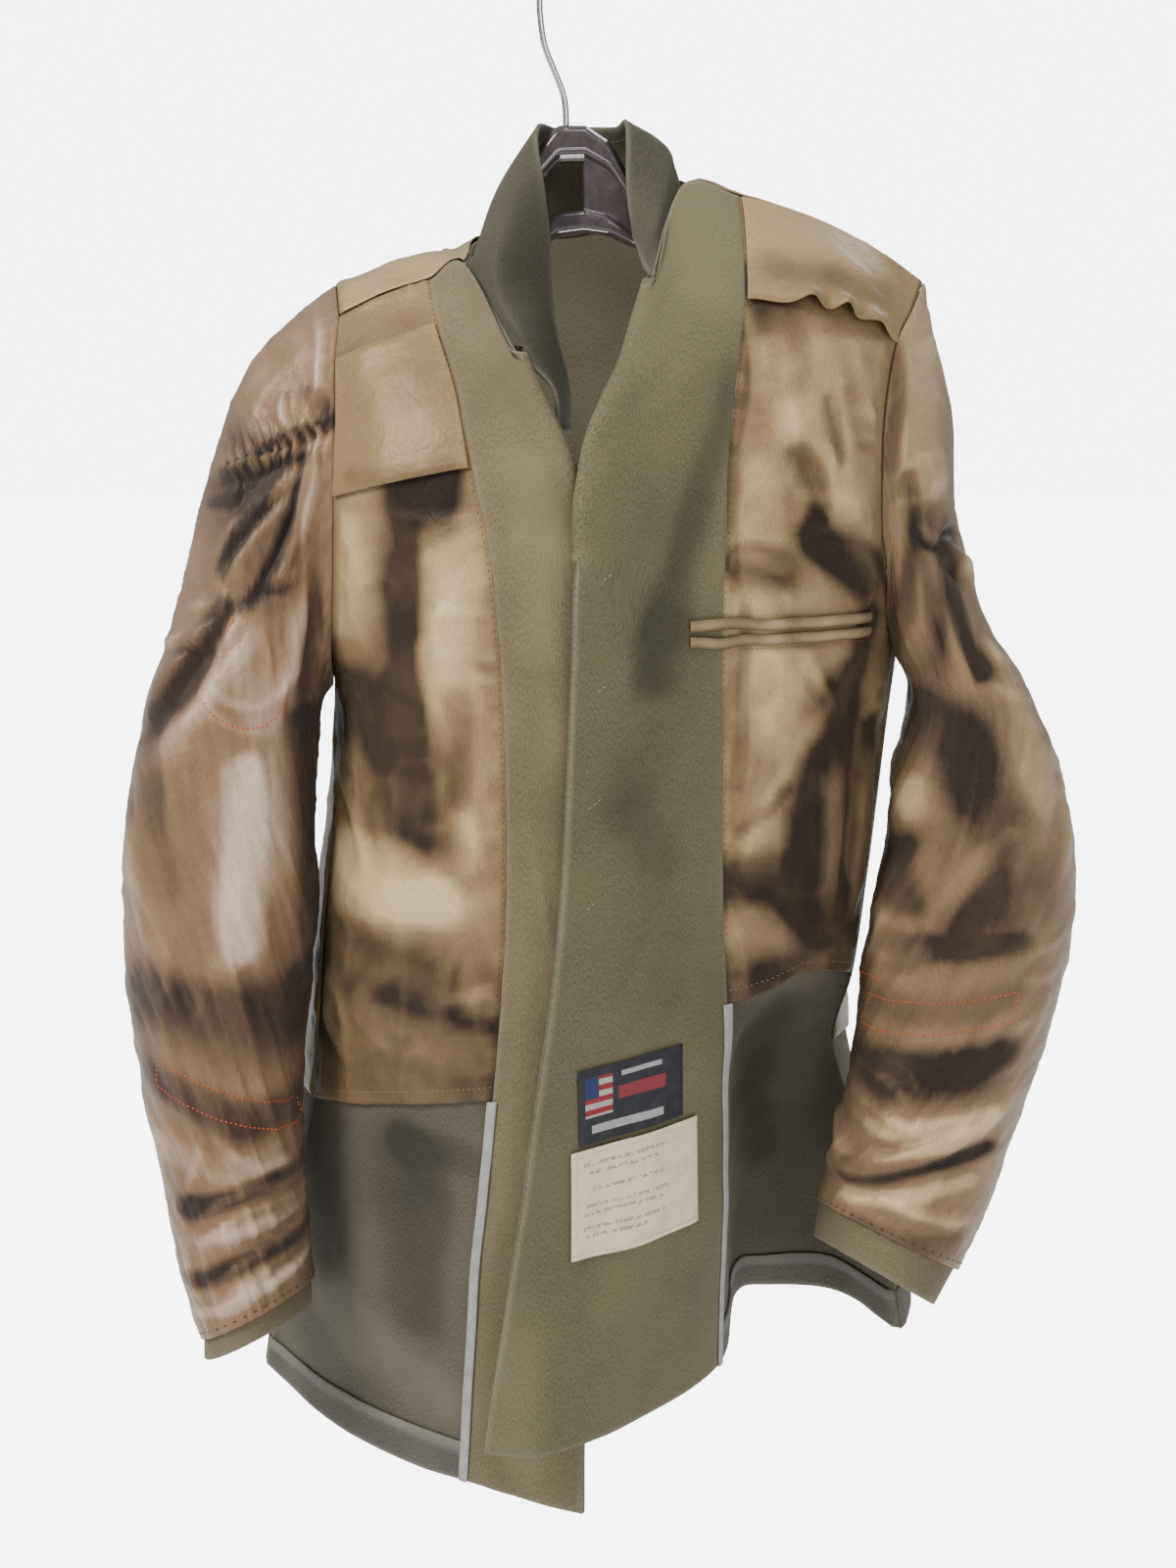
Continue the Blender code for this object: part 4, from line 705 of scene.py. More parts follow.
# Places (x, z) carried onto the near face of a surface: its points and normals there, mixed
# from the corners of the triangle that holds each place by the areas opposite them.
def laid(grid, normal, spots, closed=False):
    if closed:
        grid = np.concatenate([grid, grid[:, :1]], axis=1)
        normal = np.concatenate([normal, normal[:, :1]], axis=1)
    spots = np.asarray(spots, float)
    low, high = spots.min(axis=0) - 12, spots.max(axis=0) + 12
    index = np.arange(grid.shape[0] * grid.shape[1]).reshape(grid.shape[:2])
    a, b, d, e = (part.ravel() for part in (index[:-1, :-1], index[:-1, 1:], index[1:, :-1], index[1:, 1:]))
    corners = np.concatenate([np.stack([a, d, e], 1), np.stack([a, e, b], 1)])
    points, ways = grid.reshape(-1, 3), normal.reshape(-1, 3)
    flat = points[:, [0, 2]]
    near = ((flat[corners[:, 0]] > low) & (flat[corners[:, 0]] < high)).all(axis=1)
    corners = corners[near]
    p0, p1, p2 = (flat[corners[:, i]] for i in range(3))
    area = flatCross(p1 - p0, p2 - p0)
    area = np.where(np.abs(area) < 1e-9, 1e-9, area)
    w1 = flatCross(spots[:, None] - p0, p2 - p0) / area
    w2 = flatCross(p1 - p0, spots[:, None] - p0) / area
    w = np.stack([1 - w1 - w2, w1, w2], axis=-1)
    least = w.min(axis=-1)
    # A place that no triangle holds takes the one it misses least.
    inside = least > -1e-4
    missed = ~inside.any(axis=1)
    inside[missed, least[missed].argmax(axis=1)] = True
    spotOf, held = np.nonzero(inside)
    w = np.clip(w[spotOf, held], 0, 1)
    w = (w / w.sum(axis=1, keepdims=True))[..., None]
    found, turned = ((w * values[corners[held]]).sum(axis=1) for values in (points, ways))
    order = np.lexsort((found[:, 1], spotOf))
    nearest = order[np.searchsorted(spotOf[order], np.arange(len(spots)))]
    return found[nearest], unit(turned[nearest])


# Points along a bent line of (x, z) corners, a step apart.
def dotted(corners, step=2.0):
    corners = np.asarray(corners, float)
    run = runs(corners)
    places = np.arange(0, run[-1], step)
    return np.stack([np.interp(places, run, corners[:, i]) for i in range(2)], axis=-1)


# A four-cornered patch laid on a surface; corners are (x, z), clockwise from the top left.
def patchGrid(grid, normal, corners, rows, columns):
    (ax, az), (bx, bz), (cx, cz), (dx, dz) = corners
    v, u = np.meshgrid(np.linspace(0, 1, rows), np.linspace(0, 1, columns), indexing="ij")
    x = (1 - v) * ((1 - u) * ax + u * bx) + v * ((1 - u) * dx + u * cx)
    z = (1 - v) * ((1 - u) * az + u * bz) + v * ((1 - u) * dz + u * cz)
    places, ways = laid(grid, normal, np.stack([x.ravel(), z.ravel()], 1))
    return places.reshape(rows, columns, 3), ways.reshape(rows, columns, 3)


# Move the borders of a grid in along its own lines, the normals with them.
def trim(grid, normal, top=0.0, bottom=0.0, start=0.0, end=0.0):
    grid, normal = grid.copy(), normal.copy()
    for axis, fromEnd, amount in ((0, False, top), (0, True, bottom), (1, False, start), (1, True, end)):
        if not amount:
            continue
        run = runs(grid, axis)
        if fromEnd:
            run = np.take(run, [-1], axis=axis) - run
        push = np.clip(amount - run * 0.5, 0, None)[..., None]
        way = unit(np.gradient(grid, axis=axis)) * (-1 if fromEnd else 1)
        grid = grid + way * np.minimum(push, amount)
    return grid, normal


# The cut of a cloth: its longest row, its longest column and its area before any crease.
def cutOf(base, closed=False):
    grid = np.concatenate([base, base[:, :1]], axis=1) if closed else base
    width, length = runs(grid, 1)[:, -1].max(), runs(grid, 0)[-1].max()
    a, b = grid[1:, 1:] - grid[:-1, :-1], grid[1:, :-1] - grid[:-1, 1:]
    area = np.linalg.norm(np.cross(a, b), axis=-1).sum() / 2
    return width * mm, length * mm, area * mm * mm


# The table takes no side below 10 mm: a folded strip's cut is given as at least this, in metres.
leastCut = 0.0105


# Places a piece in the model: what it rides on, the node it stands for, its cut.
def dress(piece, node, base=None, closed=False):
    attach(piece, "root")
    if node:
        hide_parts(node)
    if base is not None:
        width, length, area = cutOf(base, closed)
        width, length = round(max(width, leastCut), 4), round(max(length, leastCut), 4)
        area = min(area, width * length)
        print("cut of %s: %.0f x %.0f mm, %.4f square metres" % (piece.name, width / mm, length / mm, area))
    return piece


# Sets an input: a node stands for its first output and a pair (node, output) for that output;
# anything else is a value, and a colour gets its alpha of 1.
def feed(tree, socket, source):
    pair = (source, 0) if isinstance(source, bpy.types.Node) else source
    if isinstance(pair, tuple) and isinstance(pair[0], bpy.types.Node):
        tree.links.new(pair[0].outputs[pair[1]], socket)
    elif socket.type == "RGBA":
        socket.default_value = (*source, 1)
    else:
        socket.default_value = source


# Sets several inputs of one node, each by its name or number.
def feedAll(tree, node, inputs):
    for key, source in inputs.items():
        feed(tree, node.inputs[key], source)


# A new node in a tree, with its settings and its inputs.
def addNode(tree, kind, inputs=None, **settings):
    made = tree.nodes.new("ShaderNode" + kind)
    for key, value in settings.items():
        setattr(made, key, value)
    feedAll(tree, made, inputs or {})
    return made


# One sum, product, quotient, sine or test of two numbers.
def addMath(tree, operation, first, second=0.0):
    return addNode(tree, "Math", {0: first, 1: second}, operation=operation)


# Mix of two colours, (1 - factor) * first + factor * second, or their product.
def addMix(tree, factor, first, second, blend="MIX"):
    made = addNode(tree, "Mix", data_type="RGBA", blend_type=blend)
    feedAll(tree, made, {0: factor, 6: first, 7: second})
    return made, 2


# Noise of a place: fineness, octaves, roughness and warp.
def addNoise(tree, place, scale, detail, rough=0.5, warp=0.0):
    return addNode(tree, "TexNoise", {"Vector": place, "Scale": scale, "Detail": detail,
                                      "Roughness": rough, "Distortion": warp})


# Straight change of range, held at both ends: low to high becomes start to end.
def remap(tree, value, low, high, start=0.0, end=1.0):
    return addNode(tree, "MapRange", {"Value": value, "From Min": low, "From Max": high,
                                      "To Min": start, "To Max": end})


# A named number kept on the mesh's points.
def attribute(tree, name):
    return addNode(tree, "Attribute", attribute_name=name), "Fac"


# A place stretched along both axes of the flat cut.
def stretched(tree, place, across, along):
    return addNode(tree, "Mapping", {"Vector": place, "Scale": (across, along, 1.0)})


# An empty shader group. An input is a vector (None), a number or a colour.
def newGroup(name, inputs, outputs):
    tree = bpy.data.node_groups.new(name, "ShaderNodeTree")
    for key, value in inputs.items():
        kind = "Vector" if value is None else "Color" if isinstance(value, tuple) else "Float"
        socket = tree.interface.new_socket(name=key, in_out="INPUT", socket_type="NodeSocket" + kind)
        if value is not None:
            socket.default_value = (*value, 1) if kind == "Color" else value
    for key in outputs:
        kind = "Color" if key == "Color" else "Float"
        tree.interface.new_socket(name=key, in_out="OUTPUT", socket_type="NodeSocket" + kind)
    return tree, tree.nodes.new("NodeGroupInput"), tree.nodes.new("NodeGroupOutput")


# What a user would change in the cloths: thread counts per metre of cut, rib and weave pitch in
# metres, the strength and depth in metres of each relief, and the shaders' plain numbers.
weaves = {
    "yarn": (1500.0, 480.0), "thread": (1800.0, 260.0), "rib": 0.0016, "pitch": 0.0008,
    "edge colour": (0.28, 0.26, 0.2), "slant blend": 0.3, "slant share": 0.5,
}
reliefs = {"serge": (0.22, 0.0004), "satin": (0.45, 0.004), "tape": (0.4, 0.0003)}
finishes = {
    "serge": {"Sheen Weight": 0.08, "Sheen Roughness": 0.5, "Sheen Tint": (0.8, 0.78, 0.7),
              "Specular IOR Level": 0.25},
    "satin": {"Specular Tint": (1.0, 0.84, 0.66)},
    "tape": {"Specular IOR Level": 0.3},
}


# Serge: diagonal ribs as a sine of u + v, and mottled yarn as a mix of three colours by noise;
# its painted shade and tone darken it toward the deep colour and lighten it toward the fleck colour.
def sergeGroup():
    tree, given, result = newGroup(
        "serge weave",
        {"Vector": None, "Place": None, "Shade and tone": 0.0, "Rib": weaves["rib"],
         "Ground": (0.2, 0.17, 0.1), "Fleck": (0.3, 0.26, 0.17), "Deep": (0.07, 0.06, 0.04)},
        ("Color", "Height", "Roughness"))
    split = addNode(tree, "SeparateXYZ", {0: (given, "Vector")})
    turns = addMath(tree, "DIVIDE", addMath(tree, "ADD", split, (split, 1)), (given, "Rib"))
    rib = addMath(tree, "SINE", addMath(tree, "MULTIPLY", turns, 2 * math.pi))
    yarn = addNoise(tree, stretched(tree, (given, "Vector"), *weaves["yarn"]), 1.0, 4.0, 0.7)
    blotch = addNoise(tree, (given, "Place"), 16.0, 3.0, 0.55)
    colour = addMix(tree, remap(tree, yarn, 0.42, 0.68, 0.0, 0.6), (given, "Ground"), (given, "Fleck"))
    shade = addMath(tree, "MULTIPLY", remap(tree, yarn, 0.5, 0.3), 0.35)
    colour = addMix(tree, shade, colour, (given, "Deep"))
    # Painted shade and highlight: the tone, with random blotches, darkens toward the deep colour and lightens
    # toward the fleck colour.
    level = addMath(tree, "ADD", (given, "Shade and tone"), remap(tree, blotch, 0.3, 0.7, -0.25, 0.25))
    colour = addMix(tree, remap(tree, level, 0.0, -1.0, 0.0, 0.75), colour, (given, "Deep"))
    colour = addMix(tree, remap(tree, level, 0.0, 1.0, 0.0, 0.6), colour, (given, "Fleck"))
    height = addMath(tree, "ADD", addMath(tree, "MULTIPLY", rib, 0.25), yarn)
    feedAll(tree, result, {"Color": colour, "Height": height,
                           "Roughness": remap(tree, yarn, 0.3, 0.7, 0.95, 0.75)})
    return tree


# Satin: threads as noise stretched along the warp, small crumples as warped noise, colour by the painted
# shade
# and tone: deep where shade is painted, the light colour where sheen highlights are painted, less gloss where
# painted dark.
def satinGroup():
    tree, given, result = newGroup(
        "satin weave",
        {"Vector": None, "Place": None, "Shade and tone": 0.0, "Crumple": 1.0,
         "Middle": (0.4, 0.3, 0.2), "Light": (0.6, 0.5, 0.36), "Deep": (0.08, 0.06, 0.05)},
        ("Color", "Height", "Roughness", "Gloss"))
    place = (given, "Place")
    thread = addNoise(tree, stretched(tree, (given, "Vector"), *weaves["thread"]), 1.0, 2.0, 0.6)
    crumple = addNoise(tree, place, 42.0, 4.0, 0.5, 0.6)
    patchy = addNoise(tree, place, 15.0, 3.0, 0.6, 0.5)
    crinkle = addNoise(tree, place, 170.0, 3.0, 0.5, 1.2)
    level = addMath(tree, "ADD", (given, "Shade and tone"), remap(tree, patchy, 0.3, 0.7, -0.16, 0.16))
    # Painted shade toward the deep colour, painted sheen highlight toward the light colour.
    colour = addMix(tree, remap(tree, level, 0.0, -1.0), (given, "Middle"), (given, "Deep"))
    colour = addMix(tree, remap(tree, level, 0.0, 1.0), colour, (given, "Light"))
    grain = remap(tree, thread, 0.3, 0.7, 0.82, 1.16)
    grainColour = addNode(tree, "CombineColor", {0: grain, 1: grain, 2: grain})
    colour = addMix(tree, 1.0, colour, grainColour, "MULTIPLY")
    coarse = addMath(tree, "MULTIPLY", crumple, (given, "Crumple"))
    coarse = addMath(tree, "ADD", coarse, addMath(tree, "MULTIPLY", crinkle, 0.2))
    height = addMath(tree, "ADD", addMath(tree, "MULTIPLY", thread, 0.05), coarse)
    feedAll(tree, result, {"Color": colour, "Height": height,
                           "Roughness": remap(tree, thread, 0.3, 0.7, 0.3, 0.46),
                           "Gloss": remap(tree, level, -0.9, 0.6, 0.08, 0.48)})
    return tree


# Plain weave of tapes and labels: the product of two sines, and faint soiling by noise.
def tapeGroup():
    tree, given, result = newGroup(
        "plain weave",
        {"Vector": None, "Pitch": weaves["pitch"], "Base": (0.4, 0.4, 0.38), "Soil": (0.2, 0.18, 0.15)},
        ("Color", "Height"))
    split = addNode(tree, "SeparateXYZ", {0: (given, "Vector")})
    turns = [addMath(tree, "DIVIDE", (split, axis), (given, "Pitch")) for axis in (0, 1)]
    waves = [addMath(tree, "SINE", addMath(tree, "MULTIPLY", turn, 2 * math.pi)) for turn in turns]
    soil = remap(tree, addNoise(tree, (given, "Vector"), 90.0, 5.0, 0.7), 0.45, 0.8, 0.0, 0.7)
    feedAll(tree, result, {"Color": addMix(tree, soil, (given, "Base"), (given, "Soil")),
                           "Height": addMath(tree, "MULTIPLY", *waves)})
    return tree


# A material with its tree, its shader and its coordinates.
def newMaterial(name, finish):
    made = bpy.data.materials.new(name)
    made.use_nodes = True
    tree = made.node_tree
    shader = tree.nodes["Principled BSDF"]
    feedAll(tree, shader, finish)
    return made, tree, shader, addNode(tree, "TexCoord")


# Relief: the height turns the shader's normal, with some strength and depth.
def bumped(tree, shader, height, strength, depth):
    bump = addNode(tree, "Bump", {"Height": height, "Strength": strength, "Distance": depth})
    feed(tree, shader.inputs["Normal"], bump)


# A woven cloth: its weave reads the flat cut, and place and the painted shade and tone where it has inputs
# for them.
def clothMaterial(name, kind, values, **more):
    made, tree, shader, spot = newMaterial(name, {**finishes[kind], **more})
    weave = addNode(tree, "Group", node_tree=groups[kind])
    feed(tree, weave.inputs["Vector"], (spot, "UV"))
    if "Shade and tone" in weave.inputs:
        feedAll(tree, weave, {"Place": (spot, "Object"), "Shade and tone": attribute(tree, "shadeAndTone")})
    feedAll(tree, weave, values)
    bumped(tree, shader, (weave, "Height"), *reliefs[kind])
    return made, tree, shader, spot, weave


# Wool cloth; edges are paler, partly rubbed wear and partly a painted highlight along the turned edge.
def woolMaterial(name, ground, fleck, deep, edgeAmount=0.2):
    values = {"Rib": weaves["rib"], "Ground": ground, "Fleck": fleck, "Deep": deep}
    made, tree, shader, _, weave = clothMaterial(name, "serge", values)
    wearAndHighlightEdge = addMath(tree, "MULTIPLY", attribute(tree, "edge"), edgeAmount)
    colour = addMix(tree, wearAndHighlightEdge, (weave, "Color"), weaves["edge colour"])
    feedAll(tree, shader, {"Base Color": colour, "Roughness": (weave, "Roughness")})
    return made


# Lining satin: warm where it faces the viewer, cooler at a slant, as a shot weave is.
def satinMaterial(name, middle, paintedHighlight, deep, slant, crumple=1.0):
    # The light colour is the painted sheen highlight and the deep colour the painted shade.
    values = {"Crumple": crumple, "Middle": middle, "Light": paintedHighlight, "Deep": deep}
    made, tree, shader, _, weave = clothMaterial(name, "satin", values)
    facing = addNode(tree, "LayerWeight", {"Blend": weaves["slant blend"]})
    part = addMath(tree, "MULTIPLY", (facing, "Facing"), weaves["slant share"])
    feedAll(tree, shader, {"Base Color": addMix(tree, part, (weave, "Color"), slant),
                           "Roughness": (weave, "Roughness"), "Specular IOR Level": (weave, "Gloss")})
    return made


# Tape or label: one colour, soiled, of a plain weave.
def tapeMaterial(name, base, soil, pitch=weaves["pitch"], rough=0.75):
    values = {"Pitch": pitch, "Base": base, "Soil": soil}
    made, tree, shader, spot, weave = clothMaterial(name, "tape", values, Roughness=rough)
    feed(tree, shader.inputs["Base Color"], (weave, "Color"))
    return made, tree, shader, spot, weave


# A material whose colour, roughness and relief all follow one noise of the place.
def speckledMaterial(name, finish, noise, colours, rough=None, depth=None):
    made, tree, shader, spot = newMaterial(name, finish)
    speck = addNoise(tree, (spot, "Object"), *noise)
    feed(tree, shader.inputs["Base Color"], addMix(tree, speck, *colours))
    if rough:
        feed(tree, shader.inputs["Roughness"], remap(tree, speck, *rough))
    if depth:
        bumped(tree, shader, speck, *depth)
    return made


# Thread: its twist darkens the colour to 0.55 of itself.
def threadMaterial(name, colour):
    dark = tuple(channel * 0.55 for channel in colour)
    return speckledMaterial(name, {"Roughness": 0.6}, (900.0, 1.0), (dark, colour), None, (0.3, 0.0003))


groups = {"serge": sergeGroup(), "satin": satinGroup(), "tape": tapeGroup()}
# Wool: ground, fleck and deep colour; painted shade and highlight mix toward the deep and fleck colours.
serge = woolMaterial("serge, wrong side", (0.062, 0.053, 0.036), (0.15, 0.135, 0.1), (0.018, 0.015, 0.01))
facingGreen = woolMaterial("serge facing, right side", (0.096, 0.086, 0.046), (0.205, 0.178, 0.1),
                           (0.024, 0.022, 0.013))
facingBrown = woolMaterial("serge facing, left side", (0.118, 0.094, 0.053), (0.24, 0.195, 0.115),
                           (0.032, 0.026, 0.016))
collarWool = woolMaterial("serge collar", (0.046, 0.042, 0.026), (0.1, 0.09, 0.062), (0.014, 0.013, 0.009))
# The back is the same serge as the fronts' wrong side, painted much lighter where it lies in shade.
backWoolPaintedLighter = woolMaterial("serge back, wrong side, painted lighter", (0.14, 0.122, 0.08), (0.26, 0.23, 0.16),
                        (0.05, 0.043, 0.028))
hemWool = woolMaterial("serge hem", (0.07, 0.063, 0.05), (0.16, 0.155, 0.14), (0.02, 0.018, 0.015), 0.3)
cuffWool = woolMaterial("serge cuff", (0.12, 0.095, 0.055), (0.2, 0.165, 0.1), (0.03, 0.024, 0.015))
# Satin: middle colour, light colour of the painted sheen highlights, deep colour of the painted shade,
# colour at a slant, strength of the small crumples.
liningSatin = satinMaterial("satin lining", (0.235, 0.155, 0.08), (0.56, 0.42, 0.225),
                            (0.02, 0.014, 0.012), (0.16, 0.12, 0.075))
flapSatin = satinMaterial("satin flaps", (0.24, 0.16, 0.078), (0.4, 0.285, 0.145),
                          (0.06, 0.04, 0.025), (0.18, 0.13, 0.075), 0.8)
# Both sleeves are one satin; their light colours are painted sheen, whiter on the left sleeve and warmer on
# the right.
sleeveSatin = satinMaterial("satin sleeve", (0.215, 0.132, 0.075), (0.58, 0.44, 0.33),
                            (0.026, 0.019, 0.017), (0.2, 0.16, 0.135), 0.9)
sleeveSatinRight = satinMaterial("satin right sleeve", (0.21, 0.135, 0.076), (0.58, 0.43, 0.24),
                                 (0.026, 0.019, 0.016), (0.19, 0.15, 0.11), 0.9)
weltSatin = satinMaterial("satin welts", (0.2, 0.14, 0.08), (0.4, 0.3, 0.18),
                          (0.06, 0.04, 0.03), (0.16, 0.125, 0.08), 0.3)
bindingTape = tapeMaterial("binding tape", (0.36, 0.35, 0.33), (0.16, 0.155, 0.14))[0]
paleThread = threadMaterial("pale thread", (0.36, 0.33, 0.25))
darkThread = threadMaterial("dark thread", (0.05, 0.045, 0.03))
orangeThread = threadMaterial("orange thread", (0.7, 0.11, 0.035))
redThread = threadMaterial("bar tack thread", (0.35, 0.16, 0.1))
# Dark glossy plastic, a little translucent, with faint scuffs; chromed wire with fine drawn marks.
plastic = speckledMaterial("dark plastic",
                           {"Transmission Weight": 0.25, "Coat Weight": 0.5, "Coat Roughness": 0.05},
                           (160.0, 6.0, 0.7), ((0.035, 0.024, 0.026), (0.11, 0.08, 0.082)),
                           (0.4, 0.75, 0.07, 0.3), (0.12, 0.0008))
wire = speckledMaterial("bright wire", {"Metallic": 1.0}, (700.0, 4.0), ((0.5, 0.5, 0.5), (0.78, 0.78, 0.77)),
                        (0.35, 0.7, 0.1, 0.3), (0.08, 0.0003))

# What shows on the labels, in metres from a corner: left, right, low, high and colour.
darkPrint = {
    "material": ("dark label", (0.018, 0.018, 0.024), (0.05, 0.05, 0.06), 0.0006, 0.55),
    "flag": (0.004, 0.022, 0.005, 0.029), "canton": (0.004, 0.013, 0.005, 0.018), "stripe": 0.0069,
    "stripe colours": ((0.38, 0.36, 0.33), (0.25, 0.02, 0.025)), "canton colour": (0.02, 0.03, 0.1),
    "bars": ((0.026, 0.058, 0.014, 0.022, (0.22, 0.03, 0.04)),
             (0.028, 0.056, 0.005, 0.008, (0.34, 0.34, 0.33)),
             (0.008, 0.056, 0.034, 0.039, (0.34, 0.34, 0.33))),
}
creamPrint = {
    "material": ("cream label", (0.78, 0.66, 0.44), (0.5, 0.42, 0.28), 0.0007, 0.6),
    "row height": 0.0022, "dashes": 420.0, "gap": 0.47, "strength": 0.6, "ink": (0.16, 0.15, 0.14),
    "rows": ((0.008, 0.064, 0.008), (0.012, 0.058, 0.0135), (0.014, 0.062, 0.024), (0.008, 0.064, 0.034),
             (0.008, 0.06, 0.039), (0.008, 0.062, 0.048), (0.01, 0.05, 0.053)),
}


# 1 inside a rectangle of the label, 0 outside it: the product of four tests.
def rectangle(tree, split, left, right, low, high):
    total = None
    for operation, axis, bound in (("GREATER_THAN", 0, left), ("LESS_THAN", 0, right),
                                   ("GREATER_THAN", 1, low), ("LESS_THAN", 1, high)):
        inside = addMath(tree, operation, (split, axis), bound)
        total = addMath(tree, "MULTIPLY", total, inside) if total else inside
    return total


# The small flag: seven stripes and a plain canton; the rest of the dark label is plain bars.
def darkLabelMaterial(look):
    made, tree, shader, spot, weave = tapeMaterial(*look["material"])
    split = addNode(tree, "SeparateXYZ", {0: (spot, "UV")})
    odd = addMath(tree, "FRACT", addMath(tree, "DIVIDE", (split, 1), look["stripe"]))
    stripes = addMix(tree, addMath(tree, "GREATER_THAN", odd, 0.5), *look["stripe colours"])
    flag = addMix(tree, rectangle(tree, split, *look["canton"]), stripes, look["canton colour"])
    colour = addMix(tree, rectangle(tree, split, *look["flag"]), (weave, "Color"), flag)
    for *place, paint in look["bars"]:
        colour = addMix(tree, rectangle(tree, split, *place), colour, paint)
    feed(tree, shader.inputs["Base Color"], colour)
    return made


# Plain grey dashes in rows stand for the print on the cream label.
def creamLabelMaterial(look):
    made, tree, shader, spot, weave = tapeMaterial(*look["material"])
    split = addNode(tree, "SeparateXYZ", {0: (spot, "UV")})
    dashes = addMath(tree, "GREATER_THAN", addNoise(tree, (spot, "UV"), look["dashes"], 0.0), look["gap"])
    colour = (weave, "Color")
    for left, right, low in look["rows"]:
        row = rectangle(tree, split, left, right, low, low + look["row height"])
        ink = addMath(tree, "MULTIPLY", addMath(tree, "MULTIPLY", dashes, row), look["strength"])
        colour = addMix(tree, ink, colour, look["ink"])
    feed(tree, shader.inputs["Base Color"], colour)
    return made


darkLabel = darkLabelMaterial(darkPrint)
creamLabel = creamLabelMaterial(creamPrint)
print("stage 2: materials are made")

# The three panels, their seams and their normals.
left = finePanel(frontLeft, leftDown, leftAcross)
right = finePanel(frontRight, rightDown, rightAcross)
back = finePanel(backPanel, backDown, backAcross)
neckLeft = at(leftColumns, "middle", leftAcross)
neckRight = at(rightColumns, "middle", rightAcross)
firstNeck = at(backColumns, "left neck", backAcross)
lastNeck = at(backColumns, "right neck", backAcross)
underLeft = at(frontLeft, "underarm", leftDown)
underRight = at(frontRight, "underarm", rightDown)
underBack = at(backPanel, "underarm", backDown)

# The back's shoulder edges move onto the fronts' top seams; the move fades over the first span.
backPlaces = between(np.arange(len(backColumns), dtype=float), backAcross)
fadeDown = np.clip(1 - np.arange(len(back)) / backDown[0], 0, 1)
for line, across, table, columns in ((left[0], leftAcross, shoulderLeft, slice(0, firstNeck + 1)),
                                     (right[0], rightAcross, shoulderRight, slice(lastNeck, None))):
    ownPlaces = between(np.arange(len(across) + 1, dtype=float), across)
    wanted = np.interp(backPlaces[columns], *np.array(table, float).T)
    seam = np.stack([np.interp(wanted, ownPlaces, line[:, i]) for i in range(3)], axis=-1)
    back[:, columns] += (seam - back[0, columns])[None] * fadeDown[:, None, None]

# The back's sides move onto the fronts' sides below the underarm; the move fades over six columns.
fadeAside = np.clip(1 - np.arange(6) / 6, 0, 1)
for front, rows, step in ((left, underLeft, 1), (right, underRight, -1)):
    edge = 0 if step == 1 else -1
    shift = front[rows:, -1] - back[underBack:, edge]
    columns = np.arange(6) if step == 1 else -1 - np.arange(6)
    back[underBack:, columns] += shift[:, None] * fadeAside[None, :, None]

leftOut = outward(left, -1)
rightOut = outward(right, 1)
backOut = outward(back, -1)
for frontOut, rows, edge in ((leftOut, underLeft, 0), (rightOut, underRight, -1)):
    mean = unit(frontOut[rows:, -1] + backOut[underBack:, edge])
    frontOut[rows:, -1] = mean
    backOut[underBack:, edge] = mean


# Slow unevenness of the panels: amount, size in mm, step of the seed.
foldNoises = ((0.9, 46, 0), (0.5, 21, 1))


# How far a panel's cloth stands off its base: shared folds and slow noise, nothing at its seams.
def sharedFolds(grid, lines, seed, startSeam):
    x, z = grid[..., 0], grid[..., 2]
    u, v = runs(grid, 1), runs(grid, 0)
    amount = creased(x, z, lines)
    for share, size, step in foldNoises:
        amount = amount + share * softNoise(u, v, size, seed + step)
    fade = easeIn(u[:, -1:] - u, 26) * easeIn(v, 24)
    if startSeam:
        fade = fade * easeIn(u, 26)
    return (amount * fade)[..., None]


leftFold = sharedFolds(left, foldsLeft, 11, False)
rightFold = sharedFolds(right, foldsRight, 21, False)
backFold = sharedFolds(back, foldsBack, 31, True)


# Small creases of the linings: noises (amount, size, step of the seed), ridges (amount, stretch
# across and down, size, step of the seed), puckers along the first edge (amount, stretch, size,
# step of the seed, reach), share of the placed creases, lift over the wool, greatest height.
crumples = {
    "noises": ((0.45, 9, 0), (0.4, 17, 1)),
    "ridges": ((0.9, 1, 0.6, 26, 3), (0.6, 0.7, 1, 15, 4)),
    "puckers": (1.3, 0.12, 5, 2, 8), "creases": 1.3, "lift": 1.0, "top": 4.5,
}


# Small creases that only the lining has, never inward; they fade where something lies on it.
def liningCrumple(grid, lines, seed, quiet=()):
    x, z = grid[..., 0], grid[..., 2]
    u, v = runs(grid, 1), runs(grid, 0)
    fine = sum(share * softNoise(u, v, size, seed + step) for share, size, step in crumples["noises"])
    for share, across, down, size, step in crumples["ridges"]:
        fine = fine + share * ridges(u * across, v * down, size, seed + step)
    share, across, size, step, reach = crumples["puckers"]
    pucker = share * softNoise(u * across, v, size, seed + step) * np.exp(-u / reach)
    amount = crumples["creases"] * creased(x, z, lines) + fine + pucker + crumples["lift"]
    for x0, x1, z0, z1 in quiet:
        inside = easeIn(x - x0, 8) * easeIn(x1 - x, 8) * easeIn(z - z0, 8) * easeIn(z1 - z, 8)
        amount = amount * (1 - inside)
    fade = easeIn(u[:, -1:] - u, 14) * (0.25 + 0.75 * easeIn(u, 4))
    return (np.clip(amount, 0, crumples["top"]) * fade)[..., None]


# Outer face of each cloth, by name: its points and its normals.
surfaces = {}


